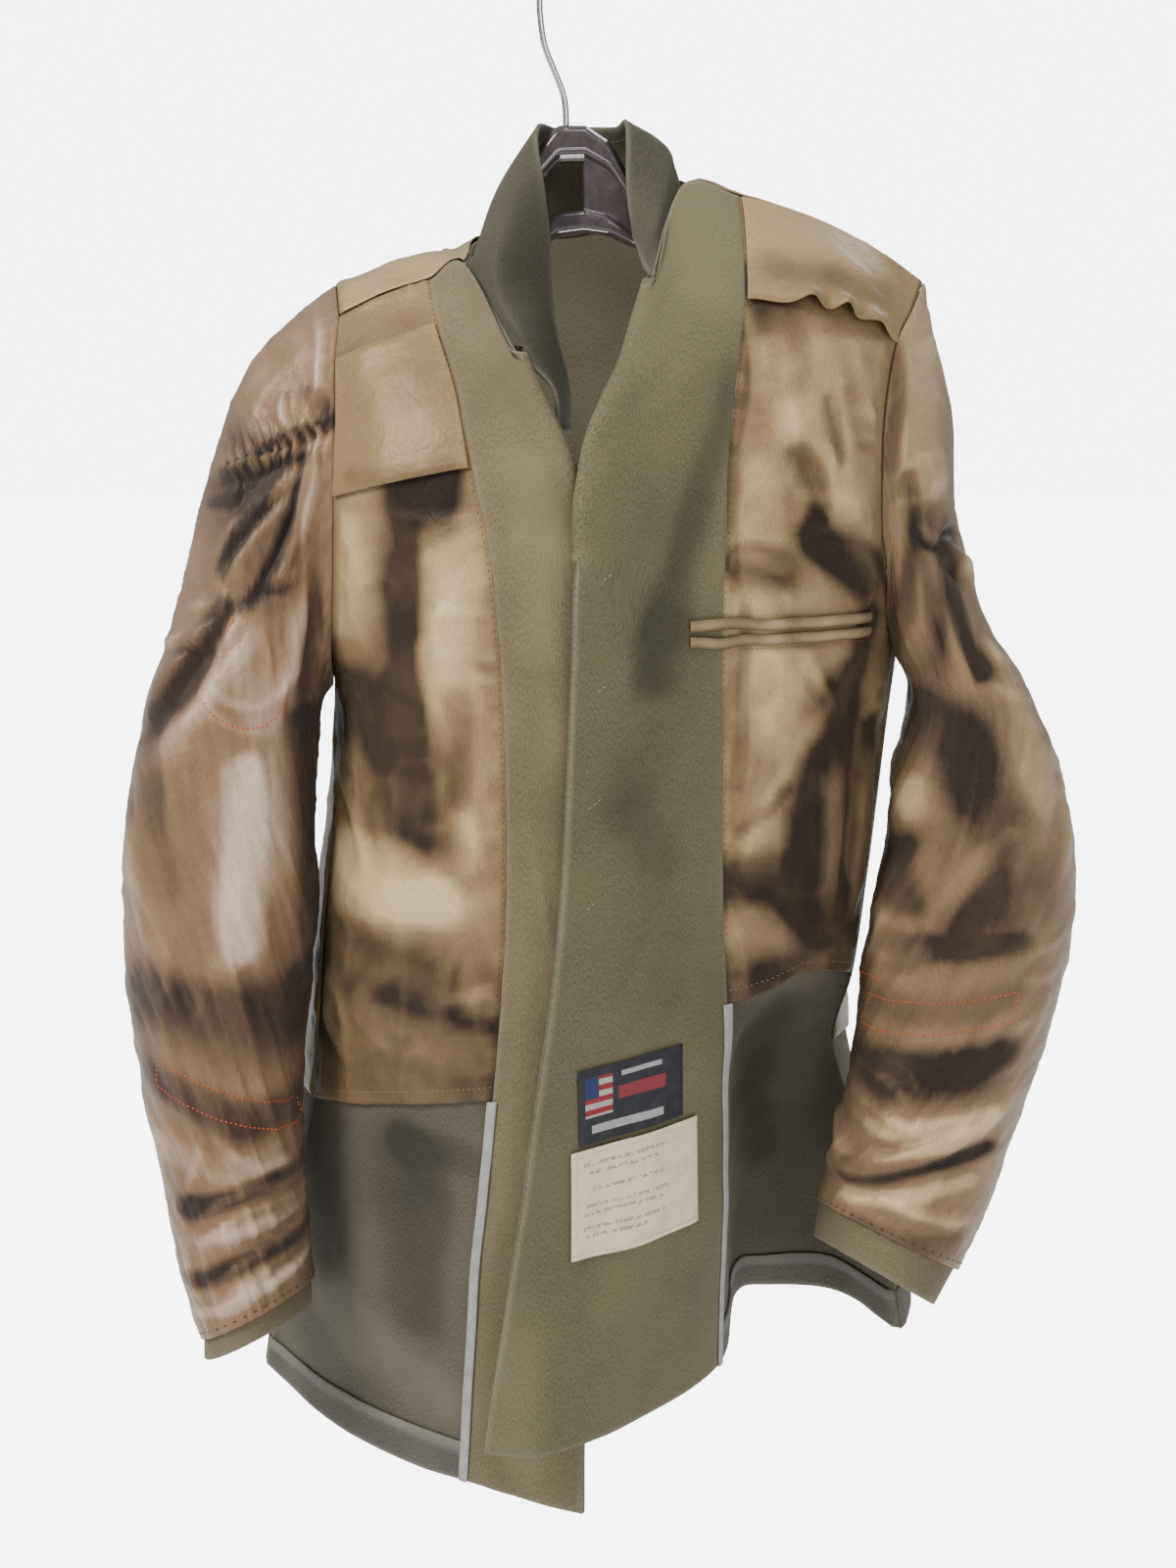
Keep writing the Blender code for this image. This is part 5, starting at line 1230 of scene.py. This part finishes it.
# One cloth: its sheet from low to high over a base, placed in the model, its outer face kept.
def makeCloth(name, node, base, out, low, high, material, shadeAndTone=None,
              closed=False, cut=None, kept=None):
    piece = makeSheet(name, base, out, low, high, material, closed=closed, shadeAndTone=shadeAndTone)
    dress(piece, node, base if cut is None else cut, closed)
    if kept:
        surfaces[kept] = (base + out * high, out)
    return piece


# Painted shade of wool: its placed strokes of painted shade and highlight, and painted fold shade from a
# tenth of its folds.
def woolPaintedShade(grid, fold):
    return paintedFoldShade(shaded(grid[..., 0], grid[..., 2], shadeWool), fold, 0.1)


sides = {
    "left": {"grid": left, "out": leftOut, "fold": leftFold, "rows": frontLeft, "down": leftDown,
             "columns": leftColumns, "across": leftAcross, "creases": creasesChestLeft,
             "shade": shadeChestLeft, "facing": facingBrown, "quiet": ((-145, -40, -320, -195),), "seed": 41},
    "right": {"grid": right, "out": rightOut, "fold": rightFold, "rows": frontRight, "down": rightDown,
              "columns": rightColumns, "across": rightAcross, "creases": creasesChestRight,
              "shade": shadeChestRight, "facing": facingGreen,
              "quiet": ((80, 200, -222, -120), (55, 182, -397, -367)), "seed": 51},
}
# The facing's ease over the lapel: rows of air in mm, and how far it reaches down from the break.
lapelEase = {"whole": 0.6, "break": 0.3, "half": 14, "past": 12, "side": 8, "columns": 6}
# Shares of the folds and creases in the lining's painted shade and highlight, and the crease height that
# leaves it as it is.
liningPaintedShade = {"folds": 0.12, "creases": 0.18, "level": 1.2}


# Fine index of a front's named column.
def columnOf(make, name):
    return at(make["columns"], name, make["across"])


# Fine index of a front's named row.
def rowOf(make, name):
    return at(make["rows"], name, make["down"])


for side, make in sides.items():
    grid, fold = make["grid"], make["fold"]
    # Wool fronts carry painted shade and highlight from their strokes and folds.
    make["under"] = makeCloth("wool_front_" + side, "front_" + side, grid, make["out"], fold,
                              wall["wool"] + fold, serge, shadeAndTone=woolPaintedShade(grid, fold))
trimmed, trimmedOut = trim(back, backOut, top=1.3, start=wall["gap"], end=wall["gap"])
woolBack = makeCloth("wool_back", "back", trimmed, trimmedOut, backFold, wall["wool"] + backFold,
                     backWoolPaintedLighter, cut=back)
print("stage 3: the wool panels are made")

for side, make in sides.items():
    grid, out, fold, under = make["grid"], make["out"], make["fold"], [make["under"].name]
    facing = columnOf(make, "facing")
    # The facing lies looser over the lapel's fold, most where the fold opens.
    part, partOut, partFold = grid[:, :facing + 1], out[:, :facing + 1], fold[:, :facing + 1]
    u, v = runs(part, 1), runs(part, 0)
    nearRoll = easeIn(u[:, columnOf(make, "roll") + lapelEase["columns"]][:, None] - u, lapelEase["side"])
    breakAt = v[rowOf(make, "break")][None]
    ease = (nearRoll * (lapelEase["whole"] * easeIn(breakAt + lapelEase["past"] - v, lapelEase["past"])
                        + lapelEase["break"] * bell(v - breakAt, lapelEase["half"])))[..., None]
    low = onShell + ease + partFold
    # The facing carries painted shade and highlight from its strokes and folds.
    makeCloth("facing_wool_" + side, "facing_" + side, part, partOut, low,
              low + wall["facing"], make["facing"], shadeAndTone=woolPaintedShade(part, partFold),
              kept="facing " + side)
    # Lining from the facing's edge to the side.
    rows = slice(0, rowOf(make, "lining hem") + 1)
    part, partOut = trim(grid[rows, facing:], out[rows, facing:], start=wall["gap"])
    crumple = liningCrumple(part, make["creases"], make["seed"], make["quiet"])
    partFold = fold[rows, facing:]
    # Painted shade and sheen highlights of the lining: its strokes, and painted fold shade from its folds and
    # creases.
    shadeAndTone = paintedFoldShade(1.1 * shaded(part[..., 0], part[..., 2], make["shade"]), partFold, liningPaintedShade["folds"],
                  crumple - liningPaintedShade["level"], liningPaintedShade["creases"])
    makeCloth("lining_satin_" + side, "lining_front_" + side, part, partOut,
              onShell + partFold + crumple, onShell + wall["satin"] + partFold + crumple,
              liningSatin, shadeAndTone=shadeAndTone, kept="lining " + side)
    # Hem turned up and taped at its raw edge.
    rows = slice(rowOf(make, "turn-up"), None)
    part, partOut = trim(grid[rows, facing:], out[rows, facing:], start=wall["gap"], end=2.5)
    partFold = fold[rows, facing:]
    makeCloth("hem_wool_" + side, "hem_" + side, part, partOut, onShell + partFold,
              onShell + wall["facing"] + partFold, hemWool,
              shadeAndTone=1.6 * (1 - easeIn(runs(part, 0) - 5.5, 1.5)) - 0.2, kept="hem " + side)

rows = slice(0, at(backPanel, "lining hem", backDown) + 1)
part, partOut = trim(back[rows], backOut[rows], top=1.3, start=0.7, end=0.7)
crumple = liningCrumple(part, (), 61)
# The back lining: random tone from noise, and painted shade and highlight from its folds and creases.
shadeAndTone = paintedFoldShade(0.5 * softNoise(part[..., 0], part[..., 2], 60, 62), backFold[rows], liningPaintedShade["folds"],
              crumple - liningPaintedShade["level"], liningPaintedShade["creases"])
makeCloth("lining_satin_back", "lining_back", part, partOut, onShell + backFold[rows] + crumple,
          onShell + wall["satin"] + backFold[rows] + crumple, liningSatin, shadeAndTone=shadeAndTone)
rows = slice(at(backPanel, "turn-up", backDown), None)
part, partOut = trim(back[rows], backOut[rows], start=2.5, end=2.5)
makeCloth("hem_wool_back", "hem_back", part, partOut, onShell + backFold[rows],
          onShell + wall["facing"] + backFold[rows], hemWool)
print("stage 4: facings, linings and hems are made")

# Flaps on the chest; the right one's free edge waves off the lining.
flaps = {
    "left": {"top": "gorge", "low": "flap edge", "trimTop": 0.0, "lift": 0.6, "waves": ((0.5, 0.3, 0.5),)},
    "right": {"top": "top seam", "low": "flap edge", "trimTop": 2.0, "lift": 1.0,
              "waves": ((0.35, 0.07, 5), (0.57, 0.06, 6), (0.8, 0.1, 4))},
}
for side, make in flaps.items():
    whole = sides[side]
    facing = columnOf(whole, "facing")
    rows = slice(rowOf(whole, make["top"]), rowOf(whole, make["low"]) + 1)
    part, partOut = trim(whole["grid"][rows, facing:], whole["out"][rows, facing:],
                         top=make["trimTop"], start=2, end=2)
    u, v = runs(part, 1), runs(part, 0)
    share = u / u[:, -1:]
    toEdge = 1 - easeIn(v[-1:] - v, 16)
    wave = np.zeros_like(share)
    for middle, half, rise in make["waves"]:
        wave += rise * bell(share - middle, half)
    part[..., 2] += wave * toEdge * 0.8
    slack = make["lift"] * toEdge + wave * toEdge + 0.35 * (1 + softNoise(u, v, 13, 71))
    fold = whole["fold"][rows, facing:] + slack[..., None]
    # Flap colour: painted shade and sheen highlights from its strokes.
    makeCloth("flap_satin_" + side, "shoulder_flap_" + side, part, partOut, onLining + fold,
              onLining + wall["satin"] + fold, flapSatin,
              shadeAndTone=shaded(part[..., 0], part[..., 2], shadeFlaps), kept="flap " + side)

# Inside pocket: two welts with the mouth between them.
welts = {
    "upper": {"corners": ((65, -374.5), (173, -375), (173, -380.5), (65, -380)), "gape": 0.8},
    "lower": {"corners": ((65, -383), (173, -383.5), (173, -389), (65, -388.5)), "gape": -2.0},
}
weltStrips, weltLength = 7, 60
rightShell = right + rightOut * rightFold
for name, make in welts.items():
    part, partOut = patchGrid(rightShell, rightOut, make["corners"], weltStrips, weltLength)
    share = np.linspace(0, 1, weltLength)[None]
    sag = (0.5 * np.sin(share * 9) + 0.4 * np.sin(share * 23 + 1)) * np.sin(share * math.pi)
    roll = 0.7 * np.sin(np.linspace(0, 1, weltStrips) * math.pi)[:, None]
    lift = (0.5 + roll + 0.3 * sag)[..., None]
    gape = make["gape"] * bell(part[..., 0] - 84, 13)
    part[..., 2] += 0.9 * sag + gape
    # Welt colour: random tone, and a painted highlight along the roll of each welt, darker toward its edges.
    shadeAndTone = 0.6 * softNoise(runs(part, 1), runs(part, 0), 11, 73) + 0.9 * roll - 0.4
    makeCloth("welt_satin_" + name, "welt_" + name, part, partOut, onWelt + lift * 0.5,
              onWelt + wall["welt"] + lift, weltSatin,
              shadeAndTone=np.clip(shadeAndTone, -1, 1))

# Tapes that bind the facing's edge below the lining.
for side, make in sides.items():
    facing = columnOf(make, "facing")
    rows = slice(rowOf(make, "lining hem"), None)
    middle, ways = make["grid"][rows, facing], make["out"][rows, facing]
    across = unit(make["grid"][rows, facing + 1] - make["grid"][rows, facing - 1])
    offsets = np.linspace(-3, 3, 7)
    part = middle[:, None] + across[:, None] * offsets[None, :, None]
    part[0] += unit(middle[1] - middle[0]) * 1.5
    partOut = np.repeat(ways[:, None], 7, axis=1)
    fold = make["fold"][rows, facing][:, None] + (0.25 * np.cos(offsets / 3 * 1.4))[None, :, None]
    makeCloth("binding_tape_" + side, "seam_binding_" + side, part, partOut, onLining + fold - 0.2,
              onLining + wall["tape"] + fold, bindingTape)

# Labels on the right facing.
labels = {
    "dark": {"corners": ((2, -623), (62, -619), (63, -663), (3, -668)), "on": onWelt,
             "material": darkLabel, "lift": 0.5},
    "cream": {"corners": ((-2, -671), (71, -666), (72, -733), (-2, -738)), "on": onLabel,
              "material": creamLabel, "lift": 1.2},
}
for name, make in labels.items():
    part, partOut = patchGrid(rightShell, rightOut, make["corners"], 24, 28)
    u, v = runs(part, 1), runs(part, 0)
    lift = make["lift"] * 0.5 * (1 + softNoise(u, v, 19, 81)) * easeIn(u, 6) * easeIn(u[:, -1:] - u, 6)
    makeCloth("label_cloth_" + name, "label_" + name, part, partOut,
              make["on"] + lift[..., None], make["on"] + wall["label"] + lift[..., None],
              make["material"], kept="label " + name)
print("stage 5: flaps, pocket, tapes and labels are made")

# Collar: its seam edge follows the necks of the three panels. Rings on its free point, strips up
# and down, where its start stands off the neck and how far that reaches, its ripple (amount, size, seed).
collarLook = {"free": 15, "strips": (10, 10), "start": (5.5, 1.0, 1.5), "reach": 9, "ripple": (0.5, 24, 91)}
rollLeft = at(leftColumns, "roll", leftAcross)
rollRight = at(rightColumns, "roll", rightAcross)
neck, neckOut = (np.concatenate([onLeft[0, rollLeft:neckLeft + 1], onBack[0, firstNeck + 1:lastNeck],
                                 onRight[0, rollRight:neckRight + 1][::-1]])
                 for onLeft, onBack, onRight in ((left, back, right), (leftOut, backOut, rightOut)))
stations = np.array(list(collarStations.values()), float)
knots = lengthKnots(stations)
run = runs(neck)
sewn = knots[2] + (knots[-1] - knots[2]) * run / run[-1]
free = np.linspace(knots[0], knots[2], collarLook["free"])[:-1]
collar = smooth(stations, knots, np.concatenate([free, sewn]))
tangent = unit(np.gradient(neck, axis=0))
up = collar[len(free):, 1] - neck
up = unit(up - (up * tangent).sum(axis=-1, keepdims=True) * tangent)
seamPlace = neck + up * (0.2 + 1.6 * np.clip((up * neckOut).sum(axis=-1, keepdims=True), 0, 1))
start = (1 - easeIn(run, collarLook["reach"]))[:, None]
collar[len(free):, 0] = seamPlace * (1 - start) + (neck + collarLook["start"]) * start
collar = collar.transpose(1, 0, 2)
crown = lengthKnots(collar)
collar = smooth(collar, crown, between(crown, collarLook["strips"])).transpose(1, 0, 2)
collarOut = outward(collar, 1)
u, v = runs(collar, 0), runs(collar, 1)
amount, size, seed = collarLook["ripple"]
ripple = (amount * softNoise(u, v, size, seed) * easeIn(v, 8))[..., None]
makeCloth("collar_wool", "collar", collar, collarOut, ripple, wall["collar"] + ripple,
          collarWool, kept="collar")


# Sleeve rings: ellipses square to the run of the sleeve in depth.
def ringsOf(table, sidesAround):
    outer = np.array([(row[0][0], row[2], row[0][1]) for row in table.values()], float)
    inner = np.array([(row[1][0], row[2], row[1][1]) for row in table.values()], float)
    half = np.array([row[3] for row in table.values()], float)
    centre = (outer + inner) / 2
    front = np.cross(np.gradient(centre, axis=0), outer - centre)
    front *= np.where(front[:, 1:2] > 0, -1, 1)
    front *= (half / np.linalg.norm(front, axis=1))[:, None]
    turns = np.arange(sidesAround) * 2 * math.pi / sidesAround
    return (centre[:, None] + np.cos(turns)[None, :, None] * (outer - centre)[:, None]
            + np.sin(turns)[None, :, None] * front[:, None])


# The armhole loop, read at even turns: top, front, underarm, back.
def armhole(frontEdge, backEdge, sidesAround, clearX):
    loop = np.concatenate([frontEdge, backEdge[::-1]])
    low, high = loop.min(axis=0), loop.max(axis=0)
    centre, half = (low + high) / 2, (high - low) / 2
    forward, upward = -(loop[:, 1] - centre[1]) / half[1], (loop[:, 2] - centre[2]) / half[2]
    angle = np.arctan2(forward, upward) % (2 * math.pi)
    order = np.argsort(angle)
    angle, loop = angle[order], loop[order]
    angle = np.concatenate([angle[-1:] - 2 * math.pi, angle, angle[:1] + 2 * math.pi])
    loop = np.concatenate([loop[-1:], loop, loop[:1]])
    turns = np.arange(sidesAround) * 2 * math.pi / sidesAround
    place = np.stack([np.interp(turns, angle, loop[:, i]) for i in range(3)], axis=-1)
    for _ in range(3):
        place = (np.roll(place, 1, axis=0) + 2 * place + np.roll(place, -1, axis=0)) / 4
    place[:, 0] += clearX
    return place


# Unit normals of a closed run of rings, turned away from its middle.
def ringNormals(rings):
    closedRings = np.concatenate([rings[:, -1:], rings, rings[:, :1]], axis=1)
    normal = unit(np.cross(np.gradient(closedRings, axis=0), np.gradient(closedRings, axis=1)))[:, 1:-1]
    inward = ((rings.mean(axis=1, keepdims=True) - rings) * normal).sum() > 0
    return -normal if inward else normal


# Small unevenness of a sleeve: amount, size and seed of its noises and of its ridges.
def sleeveFine(a, b, v, seed):
    noises = 0.7 * softNoise(a + v * 0.3, v + b, 14, seed) + 0.4 * softNoise(a, v * 1.6 + b, 7, seed + 1)
    folds = 0.8 * ridges(a + v * 0.5, b + v * 0.5, 30, seed + 3)
    slow = 1.1 * softNoise(a + 40, v * 0.8 + b, 38, seed + 2)
    return noises + folds + 0.5 * ridges(a, v + b, 16, seed + 4), slow


# Each sleeve: its armhole's move in x, its looks and what it hangs on. How far in and out its creases
# go: all over, within 90 mm of the cuff, and above the height of the crown.
sleeves = {
    "left": {"table": sleeveLeft, "front": left, "frontOut": leftOut, "under": underLeft, "column": 0,
             "clear": -0.8, "creases": creasesSleeveLeft, "shade": shadeSleeveLeft, "seed": 101,
             "material": sleeveSatin,
             "gathers": {"from": (-208, -291), "to": (-132, -267), "pitch": 6.8, "reach": 15, "height": 2.2,
                         "sink": 4.5, "groove": 2.4}},
    "right": {"table": sleeveRight, "front": right, "frontOut": rightOut, "under": underRight, "column": -1,
              "clear": 1.7, "creases": creasesSleeveRight, "shade": shadeSleeveRight, "seed": 111,
              "material": sleeveSatinRight, "gathers": None},
}
sleeveLimits = {"all": (-5, 6.5), "cuff": (-0.2, 5), "nearCuff": 90, "crown": (-0.3, 5), "crownAbove": -262}
cuffs = {"air": 0.9, "inside": 20, "out": 8}
for side, make in sleeves.items():
    outside = onShell + wall["satin"]
    under = make["under"] + 1
    frontEdge = make["front"][:under, -1] + outside * make["frontOut"][:under, -1]
    backEdge = (back[backDown[0]:underBack, make["column"]]
                + outside * backOut[backDown[0]:underBack, make["column"]])
    rings = ringsOf(make["table"], sleeveAround)
    last = rings[-1:]
    rings = np.concatenate([armhole(frontEdge, backEdge, sleeveAround, make["clear"])[None], rings[:-1]])
    knots = lengthKnots(rings)
    rings = smooth(rings, knots, between(knots, (sleeveStrips,) * (len(rings) - 1)))
    normal = ringNormals(rings)
    x, z, v = rings[..., 0], rings[..., 2], runs(rings, 0)
    nearFront = easeIn(0.25 - normal[..., 1], 0.5)
    # Behind, every second crease again: lower, bowed the other way, wider and flatter.
    behind = creased(x, z, [(a, b + 14, c, d + 9, -bow, width * 1.3, height * 0.8)
                            for a, b, c, d, bow, width, height in make["creases"][::2]])
    turns = np.arange(sleeveAround) * 2 * math.pi / sleeveAround
    a, b = np.cos(turns)[None] * 62, np.sin(turns)[None] * 62
    fine, slow = sleeveFine(a, b, v, make["seed"])
    amount = 1.3 * (nearFront * creased(x, z, make["creases"]) + (1 - nearFront) * behind) + fine + slow
    if make["gathers"]:
        amount = amount + nearFront * gathered(x, z, make["gathers"])
    # Puckers along the armhole seam, and a loose hem over the cuff.
    pucker = 0.9 * np.sin(turns[None] * 46 + 3 * softNoise(a, b, 20, 7)) * np.exp(-v / 9) * easeIn(v, 3)
    toEnd = v[-1:] - v
    amount = (amount * easeIn(v, 12) + pucker) * (0.35 + 0.65 * easeIn(toEnd, 10))
    amount = np.clip(amount, *sleeveLimits["all"])
    amount = np.where(toEnd < sleeveLimits["nearCuff"], np.clip(amount, *sleeveLimits["cuff"]), amount)
    amount = np.where(z > sleeveLimits["crownAbove"], np.clip(amount, *sleeveLimits["crown"]), amount)
    amount = amount[..., None]
    # Sleeve colour: painted shade and sheen highlights from its strokes, fainter behind, and painted fold
    # shade from its creases.
    shadeAndTone = paintedFoldShade(1.1 * shaded(x, z, make["shade"]) * (0.35 + 0.65 * nearFront), amount - 0.8, 0.15)
    makeCloth("sleeve_satin_" + side, "sleeve_" + side, rings, normal, amount - wall["sleeve"],
              amount, make["material"], closed=True, shadeAndTone=shadeAndTone,
              kept="sleeve " + side)
    # Wool cuff: stands inside the lining's end and comes out of it.
    inner = (rings - normal * (wall["sleeve"] + cuffs["air"]))[-sleeveStrips - cuffs["inside"]::2]
    comingOut = np.linspace(0, 1, cuffs["out"] + 1)[1:, None, None]
    inner = np.concatenate([inner, inner[-1:] + (last - inner[-1:]) * comingOut])
    makeCloth("cuff_wool_" + side, "cuff_" + side, inner, ringNormals(inner), -wall["wool"], 0.0,
              cuffWool, closed=True, kept="cuff " + side)
print("stage 6: collar, sleeves and cuffs are made")

# Hanger: stations along its length made finer by straight steps, ribs down its face.
stations = np.array(hangerStations, float)
evenly = np.linspace(stations[0, 0], stations[-1, 0], 150)
places = np.unique(np.concatenate([evenly, [hangerWindow["left"], hangerWindow["right"]]]))
top, bottom, half = (np.interp(places, stations[:, 0], stations[:, i]) for i in (1, 2, 3))
ribs = np.array(hangerRibs, float)
shares = np.concatenate([np.linspace(0, 1, 36), ribs[:, 0], [hangerWindow["top"], hangerWindow["bottom"]]])
shares = np.unique(shares)
thick = np.interp(shares, ribs[:, 0], ribs[:, 1])[:, None] * half[None]
z = top[None] + (bottom - top)[None] * shares[:, None]
grid = np.stack([np.broadcast_to(places, z.shape), np.zeros_like(z), z], axis=-1)
out = np.zeros_like(grid)
out[..., 1] = -1
midX, midShare = (places[:-1] + places[1:]) / 2, (shares[:-1] + shares[1:]) / 2
openX = (midX > hangerWindow["left"]) & (midX < hangerWindow["right"])
openZ = (midShare > hangerWindow["top"]) & (midShare < hangerWindow["bottom"])
keep = ~(openZ[:, None] & openX[None])
piece = makeSheet("hanger_plastic", grid, out, -thick[..., None], thick[..., None], plastic, keep=keep)
dress(piece, "hanger_body")
line = np.array([(x, 0.0, z) for x, z in hook["line"]])
knots = runs(line)
line = smooth(line, knots, between(knots, (8,) * (len(line) - 1)))
dress(makeRod("hook_wire", line, hook["radius"], hook["sides"], wire), "hanger_hook")


# A line of stitches on a named surface, from bent (x, z) corners.
def sewnOn(surface, corners, closed=False, proud=0.1):
    points, ways = laid(*surfaces[surface], dotted(corners), closed)
    return points + ways * proud, ways


# A line of stitches along a row or a column of a named surface.
def sewnAlong(surface, row=slice(None), column=slice(None), proud=0.1):
    points, ways = surfaces[surface]
    return points[row, column] + ways[row, column] * proud, ways[row, column]


# Length, step, width and height of the stitches.
band = (2.6, 3.1, 1.3, 0.8)
bandsLeft = (((-247, -636), (-169, -671)), ((-248, -654), (-168, -688)),
             ((-247, -637), (-248, -653)), ((-169, -672), (-168, -687)))
bandsRight = (((172, -612), (266, -598)), ((172, -632), (266, -615)),
              ((266, -599), (267, -614)), ((172, -613), (171, -631)))
arcs = (((-216, -422), (-210, -431), (-200, -438), (-190, -441), (-180, -440), (-172, -434), (-168, -426)),
        ((-197, -378), (-203, -388), (-207, -398)))
gatherLines = (((-206, -290), (-187, -283), (-160, -275), (-136, -268)),)
pocketLines = (((90, -372.5), (174, -373.5), (181, -358)), ((90, -391.5), (174, -392), (174, -374)))
marks = [((x - 3, z - 2), (x + 4, z + 3)) for x, z in ((21, -347), (18, -408), (13, -472), (12, -528))]
stitching = {
    "stitches_lining_hems": (paleThread, "satin", (2.0, 3.6, 0.6, 0.4), [
        sewnAlong("lining " + side, row=-4) for side in sides]),
    "stitches_facings": (darkThread, "satin", (1.8, 4.2, 0.6, 0.4), [
        sewnAlong("lining " + side, column=1) for side in sides]),
    "stitches_collar": (paleThread, "serge_facing", (2.2, 3.4, 0.6, 0.4), [
        sewnAlong("collar", row=slice(14, None), column=-4)]),
    "stitches_left_band": (orangeThread, "satin", band, [
        sewnOn("sleeve left", line, True) for line in bandsLeft]),
    "stitches_right_band": (orangeThread, "satin", band, [
        sewnOn("sleeve right", line, True) for line in bandsRight]),
    "stitches_arc": (orangeThread, "satin", band, [sewnOn("sleeve left", line, True) for line in arcs]),
    "stitches_cuffs": (darkThread, "serge", (3.2, 7.0, 0.9, 0.5), [
        sewnAlong("sleeve " + side, row=-3, proud=0.3) for side in ("right", "left")]),
    "stitches_gathers": (darkThread, "satin", (1.6, 3.0, 0.8, 0.6), [
        sewnOn("sleeve left", line, True) for line in gatherLines]),
    "stitches_pocket": (redThread, "satin", (2.0, 3.2, 0.6, 0.4), [
        sewnOn("lining right", line) for line in pocketLines]),
    "stitches_flap": (paleThread, "satin", (2.0, 3.2, 0.5, 0.35), [sewnAlong("flap left", row=-5)]),
    "stitches_labels": (paleThread, "tape", (1.8, 3.0, 0.5, 0.35), [
        sewnAlong("label cream", row=1), sewnAlong("label cream", row=-2),
        sewnAlong("label cream", column=1), sewnAlong("label cream", column=-2)]),
    "stitches_hems": (paleThread, "serge", (1.8, 5.5, 0.5, 0.4), [
        sewnAlong("hem " + side, row=1) for side in sides]),
    "thread_marks": (paleThread, "serge_facing", (3.4, 3.6, 0.8, 0.6), [
        sewnOn("facing right", line) for line in marks]),
}
for name, (material, slot, size, lines) in stitching.items():
    dress(makeStitches(name, lines, material, *size), None)
print("stage 7: hanger, hook and stitches are made")

# Pale floor all round the coat, a flat grid; it looks evenly white and lights the coat only softly.
studio = {"floor": -1.02, "half": 12.0, "cells": 12, "seen": 6.0, "floorLight": 0.6, "worldLight": 0.36}
across = np.linspace(-studio["half"], studio["half"], studio["cells"] + 1)
floorX, floorY = np.meshgrid(across, across, indexing="ij")
points = np.stack([floorX, floorY, np.full_like(floorX, studio["floor"])], axis=-1).reshape(-1, 3) / mm
index = np.arange(len(points)).reshape(floorX.shape)
cells = np.stack([index[:-1, :-1], index[1:, :-1], index[1:, 1:], index[:-1, 1:]], -1).reshape(-1, 4)
floorMaterial = speckledMaterial("pale studio floor", {"Roughness": 0.9, "Emission Color": (1, 1, 1)},
                                 (3.0, 2.0), ((0.9, 0.9, 0.9), (0.93, 0.93, 0.92)))


# Strength that is high where the camera looks straight at it and low where it lights things.
def seenBright(tree, target, low, high):
    rays = addNode(tree, "LightPath")
    feed(tree, target, remap(tree, (rays, "Is Camera Ray"), 0.0, 1.0, low, high))


tree = floorMaterial.node_tree
glow = tree.nodes["Principled BSDF"].inputs["Emission Strength"]
seenBright(tree, glow, studio["floorLight"], studio["seen"])
makeMesh("studio_floor", points, [cells], floorMaterial)

world = bpy.data.worlds.new("soft studio")
world.use_nodes = True
background = world.node_tree.nodes["Background"]
background.inputs["Color"].default_value = (1, 1, 1, 1)
seenBright(world.node_tree, background.inputs["Strength"], studio["worldLight"], studio["seen"])
bpy.context.scene.world = world

# Soft lights: place in metres, aim, side of the square lamp, watts, colour.
lamps = {
    "key": ((-1.25, -0.95, 0.95), (0, 0, -0.4), 0.7, 46, (1.0, 0.985, 0.96)),
    "fill": ((0.7, -1.9, 0.25), (0, 0, -0.4), 0.9, 12, (0.96, 0.98, 1.0)),
    "top": ((0.3, -0.5, 1.3), (0, 0, -0.4), 0.8, 14, (1, 1, 1)),
    "inside": ((0.01, -0.02, -0.31), (0.02, 0.06, -0.15), 0.07, 0.16, (1, 0.98, 0.94)),
    "back": ((0.9, 1.6, 0.7), (0, 0, -0.4), 0.9, 8, (1, 1, 1)),
}


# Turns an object so that its -Z axis points from its place to the aim.
def aimed(thing, place, aim):
    thing.location = place
    thing.rotation_euler = (Vector(aim) - Vector(place)).to_track_quat("-Z", "Y").to_euler()


for name, (place, aim, size, watts, colour) in lamps.items():
    lamp = bpy.data.lights.new(name, "AREA")
    lamp.size = size
    lamp.energy = watts
    lamp.color = colour
    thing = bpy.data.objects.new("lamp_" + name, lamp)
    bpy.context.scene.collection.objects.link(thing)
    aimed(thing, place, aim)

# The photograph's camera: an upright frame, taken a little from above.
camera = {"place": (0.010, -1.250, -0.237), "pitch": -11.5, "lens": 46.35, "sensor": 36.0}
data = bpy.data.cameras.new("photo camera")
data.sensor_fit = "VERTICAL"
data.sensor_height = camera["sensor"]
data.sensor_width = camera["sensor"]
data.lens = camera["lens"]
data.clip_end = 20
eye = bpy.data.objects.new("photo_camera", data)
eye.location = camera["place"]
eye.rotation_euler = (math.radians(90 + camera["pitch"]), 0, 0)
bpy.context.scene.collection.objects.link(eye)
bpy.context.scene.camera = eye
print("stage 8: studio and camera are set")
